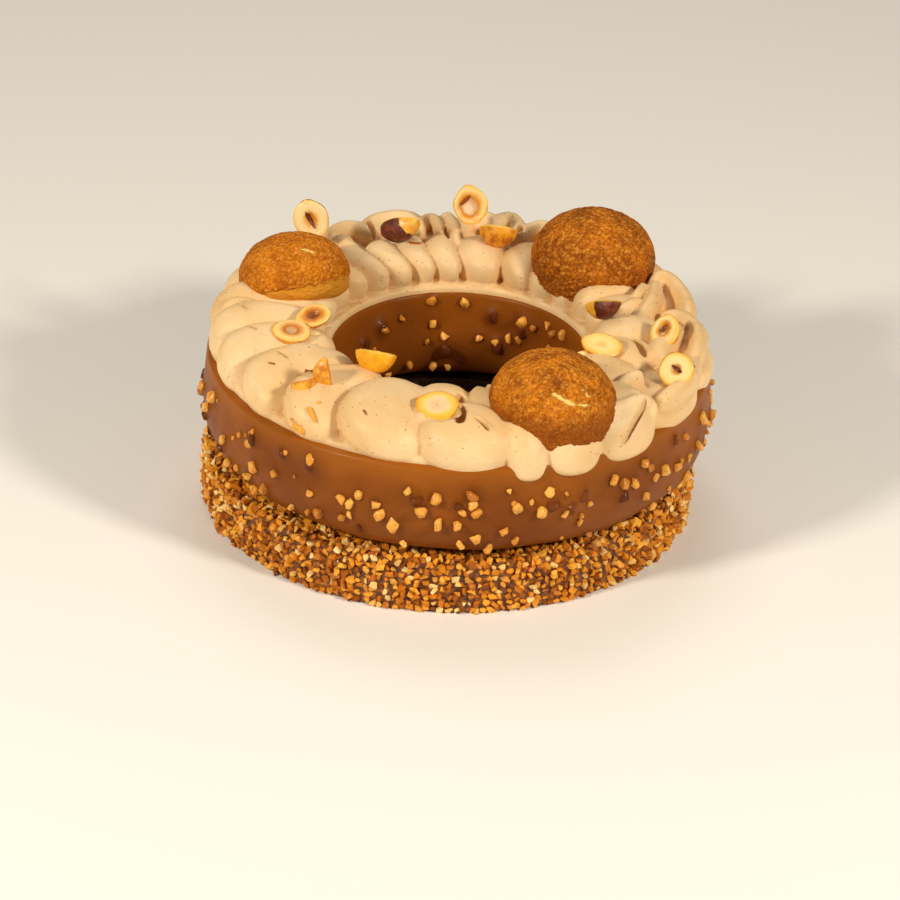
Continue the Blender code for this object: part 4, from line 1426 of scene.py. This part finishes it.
@dataclass
class HazelnutHalf:
    """Half a hazelnut on the cream.

    Attributes:
        name: the CAD node that it replaces.
        place: the middle of its cut face.
        sizes: its length, width and depth.
        facing: heading and rise of the cut face.
        turn: the nut's turn within that face.
        look: how it looks.
    """

    name: str
    place: tuple[float, float, float]
    sizes: tuple[float, float, float]
    facing: tuple[float, float]
    turn: float
    look: Look

    @staticmethod
    def _half_ball(rings: int = 13, step: float = 0.072) -> bmesh.types.BMesh:
        """Make a unit half ball whose flat face is divided into rings."""
        form = bmesh.new()
        bmesh.ops.create_uvsphere(form, u_segments=44, v_segments=30, radius=1.0,
                                  matrix=Matrix.Rotation(math.pi / 2, 4, "X"))
        bmesh.ops.bisect_plane(form, geom=form.verts[:] + form.edges[:] + form.faces[:], dist=0.0001,
                               plane_co=(0.0, 0.0, 0.0), plane_no=(0.0, 0.0, 1.0), clear_outer=True)
        rim = [edge for edge in form.edges if edge.is_boundary]
        cap = bmesh.ops.contextual_create(form, geom=rim)["faces"]
        for _ in range(rings):
            bmesh.ops.inset_region(form, faces=cap, thickness=step, depth=0.0, use_even_offset=True)
        bmesh.ops.poke(form, faces=cap)
        bmesh.ops.recalc_face_normals(form, faces=form.faces)
        return form

    def build(self) -> None:
        """Build the half nut."""
        form = self._half_ball()
        cuts, reaches, places = [], [], []
        draw = random.Random(self.name)
        shift = Vector([draw.uniform(-9.0, 9.0) for _ in range(3)])
        for vertex in form.verts:
            local = vertex.co.copy()
            reach = math.hypot(local.x, local.y)
            cut = ease(local.z, -0.16, -0.02) if reach < 0.995 else 0.55
            cuts.append(cut)
            reaches.append(self._ring_reach(local))
            places.append(local)
            vertex.co = self._form(local, reach, shift)
        heading, rise = self.facing
        face = around(heading, math.cos(math.radians(rise)), math.sin(math.radians(rise)))
        aim = face.to_track_quat("Z", "Y").to_matrix().to_4x4()
        turn = Matrix.Rotation(math.radians(self.turn), 4, "Z")
        form.transform(Matrix.Translation(self.place) @ aim @ turn)
        mesh = to_mesh(form, self.name + "_half")
        write_mark(mesh, "nut_cut", cuts)
        write_mark(mesh, "nut_reach", reaches)
        layer = mesh.attributes.new("nut_place", "FLOAT_VECTOR", "POINT")
        layer.data.foreach_set("vector", [part for local in places for part in local])
        shade_with_edges(mesh, 50)
        material = HazelnutFinish(self.name + "_finish", self.look.value).build()
        serve(new_piece(self.name + "_half", mesh, material), [self.name])

    def _ring_reach(self, local: Vector) -> float:
        """Tell how far a point of the face is from the rings' middle, with 1 at the rim."""
        middle = Vector(self.look.value.middle)
        ahead = Vector((local.x, local.y)) - middle
        if ahead.length < 0.0001:
            return 0.0
        aim = ahead.normalized()
        lead = middle.dot(aim)
        rim = math.sqrt(max(0.0001, lead * lead + 1.0 - middle.length_squared)) - lead
        return ahead.length / rim

    def _form(self, local: Vector, reach: float, shift: Vector) -> Vector:
        """Give the place of a point of the unit half ball.

        Args:
            local: the point.
            reach: its distance from the nut's middle line.
            shift: where in the noise this nut lies.

        Returns:
            The place before the nut is turned into its own place.
        """
        length, width, depth = self.sizes
        long_hollow, wide_hollow, deep = self.look.value.hollow
        x, y, z = local
        narrow = 1.0 - 0.22 * max(0.0, y) ** 2
        wobble = 1.0 + noise.noise(local * 1.6 + shift) * 0.05 + noise.noise(local * 4.5 + shift) * 0.018
        if z > -0.001:
            side, up = self.look.value.middle
            hollow = math.hypot((x - side) / (wide_hollow + 0.10), (y - up) / (long_hollow + 0.10))
            z = -deep * (1.0 - ease(hollow, 0.25, 1.0)) + 0.02 * noise.noise(local * 7.0 + shift)
            z -= 0.10 * ease(reach, 0.86, 1.0)
        return Vector((x * narrow * width / 2 * wobble, y * length / 2 * wobble, z * depth * wobble))


# The halved hazelnuts in the order of their numbers
NUTS = (
    ((-0.0568, 0.0525, 0.0835), (0.0160, 0.0134, 0.0070), (-88, 10), 20, Look.SPLIT),
    ((-0.0235, 0.0640, 0.0775), (0.0188, 0.0115, 0.0068), (80, 35), 49, Look.IN_SKIN),
    ((0.0022, 0.0685, 0.0846), (0.0150, 0.0132, 0.0065), (-95, 22), 15, Look.CAVITY),
    ((0.0133, 0.0622, 0.0788), (0.0145, 0.0120, 0.0078), (80, 56), 80, Look.GOLDEN),
    ((-0.0604, -0.0220, 0.0758), (0.0142, 0.0128, 0.0060), (-70, 78), 70, Look.ROASTED),
    ((-0.0532, -0.0110, 0.0764), (0.0130, 0.0100, 0.0050), (-110, 62), 120, Look.SCORCHED),
    ((-0.0293, -0.0405, 0.0776), (0.0152, 0.0112, 0.0078), (75, 58), 80, Look.YELLOW),
    ((-0.0452, -0.0558, 0.0758), (0.0148, 0.0080, 0.0062), (10, 10), 5, Look.WEDGE),
    ((-0.0545, -0.0590, 0.0748), (0.0098, 0.0076, 0.0054), (120, 62), 95, Look.WEDGE),
    ((-0.0071, -0.0730, 0.0748), (0.0156, 0.0142, 0.0064), (-100, 72), 85, Look.BLUSH),
    ((0.0519, 0.0050, 0.0778), (0.0165, 0.0088, 0.0062), (85, 50), 48, Look.HALF_SKIN),
    ((0.0736, -0.0115, 0.0760), (0.0132, 0.0112, 0.0058), (-125, 50), 20, Look.BOWL),
    ((0.0772, -0.0380, 0.0740), (0.0130, 0.0128, 0.0068), (-105, 34), 10, Look.EYE),
    ((0.0510, -0.0238, 0.0758), (0.0152, 0.0104, 0.0050), (-70, 62), 70, Look.PLAIN),
)


@dataclass
class NutChips:
    """Small chips, slivers and flakes of skin on the cream: place and half sizes in mm, and a heading.

    Each one lies on the point of the cream that is nearest to its place.
    """

    pale: tuple[tuple[float, ...], ...] = (
        (42.0, -24.5, 73.2, 3.8, 2.2, 1.6, -8.0), (-51.6, -19.6, 75.4, 2.6, 1.3, 0.9, 25.0),
    )
    golden: tuple[tuple[float, ...], ...] = (
        (-50.8, -74.0, 69.5, 4.2, 1.2, 1.3, -72.0), (-48.3, -70.0, 74.2, 1.2, 0.6, 0.5, 20.0),
        (-56.5, -74.5, 63.0, 3.4, 1.5, 1.6, -60.0), (-58.5, -71.5, 65.0, 1.5, 0.7, 0.6, -80.0),
    )
    skin: tuple[tuple[float, ...], ...] = (
        (-55.0, -49.3, 75.5, 1.9, 1.0, 0.9, -50.0), (-51.6, -52.6, 75.2, 1.6, 0.9, 0.8, -30.0),
        (-18.0, 58.0, 74.6, 3.4, 1.3, 0.7, 8.0), (84.5, -31.0, 73.4, 1.0, 0.8, 0.6, 40.0),
        (-66.5, -45.8, 75.2, 2.0, 0.6, 0.35, -20.0), (-32.0, -79.0, 74.2, 1.8, 0.55, 0.4, -60.0),
    )

    def build(self, cream: bvhtree.BVHTree) -> None:
        """Build the three kinds of chips.

        Args:
            cream: the surface that they lie on.
        """
        pale = NutBitFinish("chip_pale", PALE_NUT, CREAMY_NUT, YELLOW_NUT)
        golden = NutBitFinish("chip_golden", YELLOW_NUT, tone(232, 160, 50), ROAST_NUT)
        skin = NutBitFinish("chip_skin", tone(190, 112, 58), tone(158, 86, 42), tone(124, 58, 28))
        kinds = (("chips_pale", self.pale, pale, 51), ("chips_golden", self.golden, golden, 52),
                 ("chips_skin", self.skin, skin, 53))
        for name, chips, finish, seed in kinds:
            pile = ChunkPile(seed, 4, 16, 0.14)
            for x, y, z, long, wide, deep, heading in chips:
                spot, slope, _, _ = cream.find_nearest(Vector((x, y, z)) * MM)
                lean = Vector((0.0, 0.0, 1.0)).rotation_difference(slope).to_matrix().to_4x4()
                lie = lean @ Matrix.Rotation(math.radians(heading), 4, "Z")
                sizes = (long * MM, wide * MM, deep * MM)
                pile.add(spot + slope * deep * MM * 0.35, sizes, lie, 0.55)
            piece = pile.piece(name, finish.build(), flat=False)
            shade_with_edges(piece.data, 38)
            serve(piece)


@dataclass
class Studio:
    """The pale floor, the lights and the camera at the photograph's angle."""

    lens: float = 188.07
    place: tuple[float, float, float] = (-0.0033, -1.52242, 0.84505)
    aim: tuple[float, float, float] = (-0.00189, 0.0, 0.01710)
    roll: float = 2.2523

    def build(self) -> None:
        """Set the stage."""
        self._floor()
        self._camera()
        self._world()
        warm = (1.0, 0.93, 0.80)
        self._lamp("key_left", -140, 34, 1.25, 0.17, 10.0, warm)
        self._lamp("key_right", -38, 36, 1.25, 0.17, 9.6, warm)
        self._lamp("back_soft", 95, 60, 1.4, 0.7, 4.4, (1.0, 0.93, 0.84))

    def _floor(self) -> None:
        """Lay the floor."""
        form = bmesh.new()
        bmesh.ops.create_grid(form, x_segments=2, y_segments=2, size=4.0)
        floor = new_piece("floor", to_mesh(form, "floor"), FloorFinish().build())

    def _camera(self) -> None:
        """Stand the camera where the photograph was taken."""
        camera = bpy.data.cameras.new("camera")
        camera.lens = self.lens
        camera.sensor_width = 36.0
        camera.clip_start = 0.01
        holder = hang_up(camera, Vector(self.place), Vector(self.aim), self.roll)
        bpy.context.scene.camera = holder

    @staticmethod
    def _world() -> None:
        """Fill the room with soft pale light."""
        world = bpy.data.worlds.new("room")
        world.use_nodes = True
        background = world.node_tree.nodes["Background"]
        background.inputs["Color"].default_value = (1.0, 0.90, 0.76, 1.0)
        background.inputs["Strength"].default_value = 0.13
        bpy.context.scene.world = world
        bpy.context.scene.view_settings.view_transform = "Standard"

    @staticmethod
    def _lamp(name: str, heading: float, rise: float, distance: float, size: float, power: float,
              colour: tuple[float, float, float]) -> None:
        """Hang one soft lamp that looks at the cake.

        Args:
            name: the lamp's name.
            heading: its direction around the cake.
            rise: its height above the floor as an angle.
            distance: its distance from the cake.
            size: the side of its square screen.
            power: its power in watts.
            colour: its colour.
        """
        lamp = bpy.data.lights.new(name, "AREA")
        lamp.shape = "SQUARE"
        lamp.size = size
        lamp.energy = power
        lamp.color = colour
        level = distance * math.cos(math.radians(rise))
        place = around(heading, level, distance * math.sin(math.radians(rise)))
        hang_up(lamp, place, Vector((0.0, 0.0, 0.05)))


def main() -> None:
    """Build the whole cake and its stage."""
    logging.basicConfig(level=logging.INFO, format="%(name)s: %(message)s")
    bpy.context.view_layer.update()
    NutCrust().build()
    GlazedRing().build()
    cream = PipedCream().build()
    for bun in BUNS:
        bun.build()
    for number, nut in enumerate(NUTS, 1):
        HazelnutHalf(f"hazelnut_{number}", *nut).build()
    NutChips().build(cream)
    Studio().build()


if __name__ == "__main__":
    main()
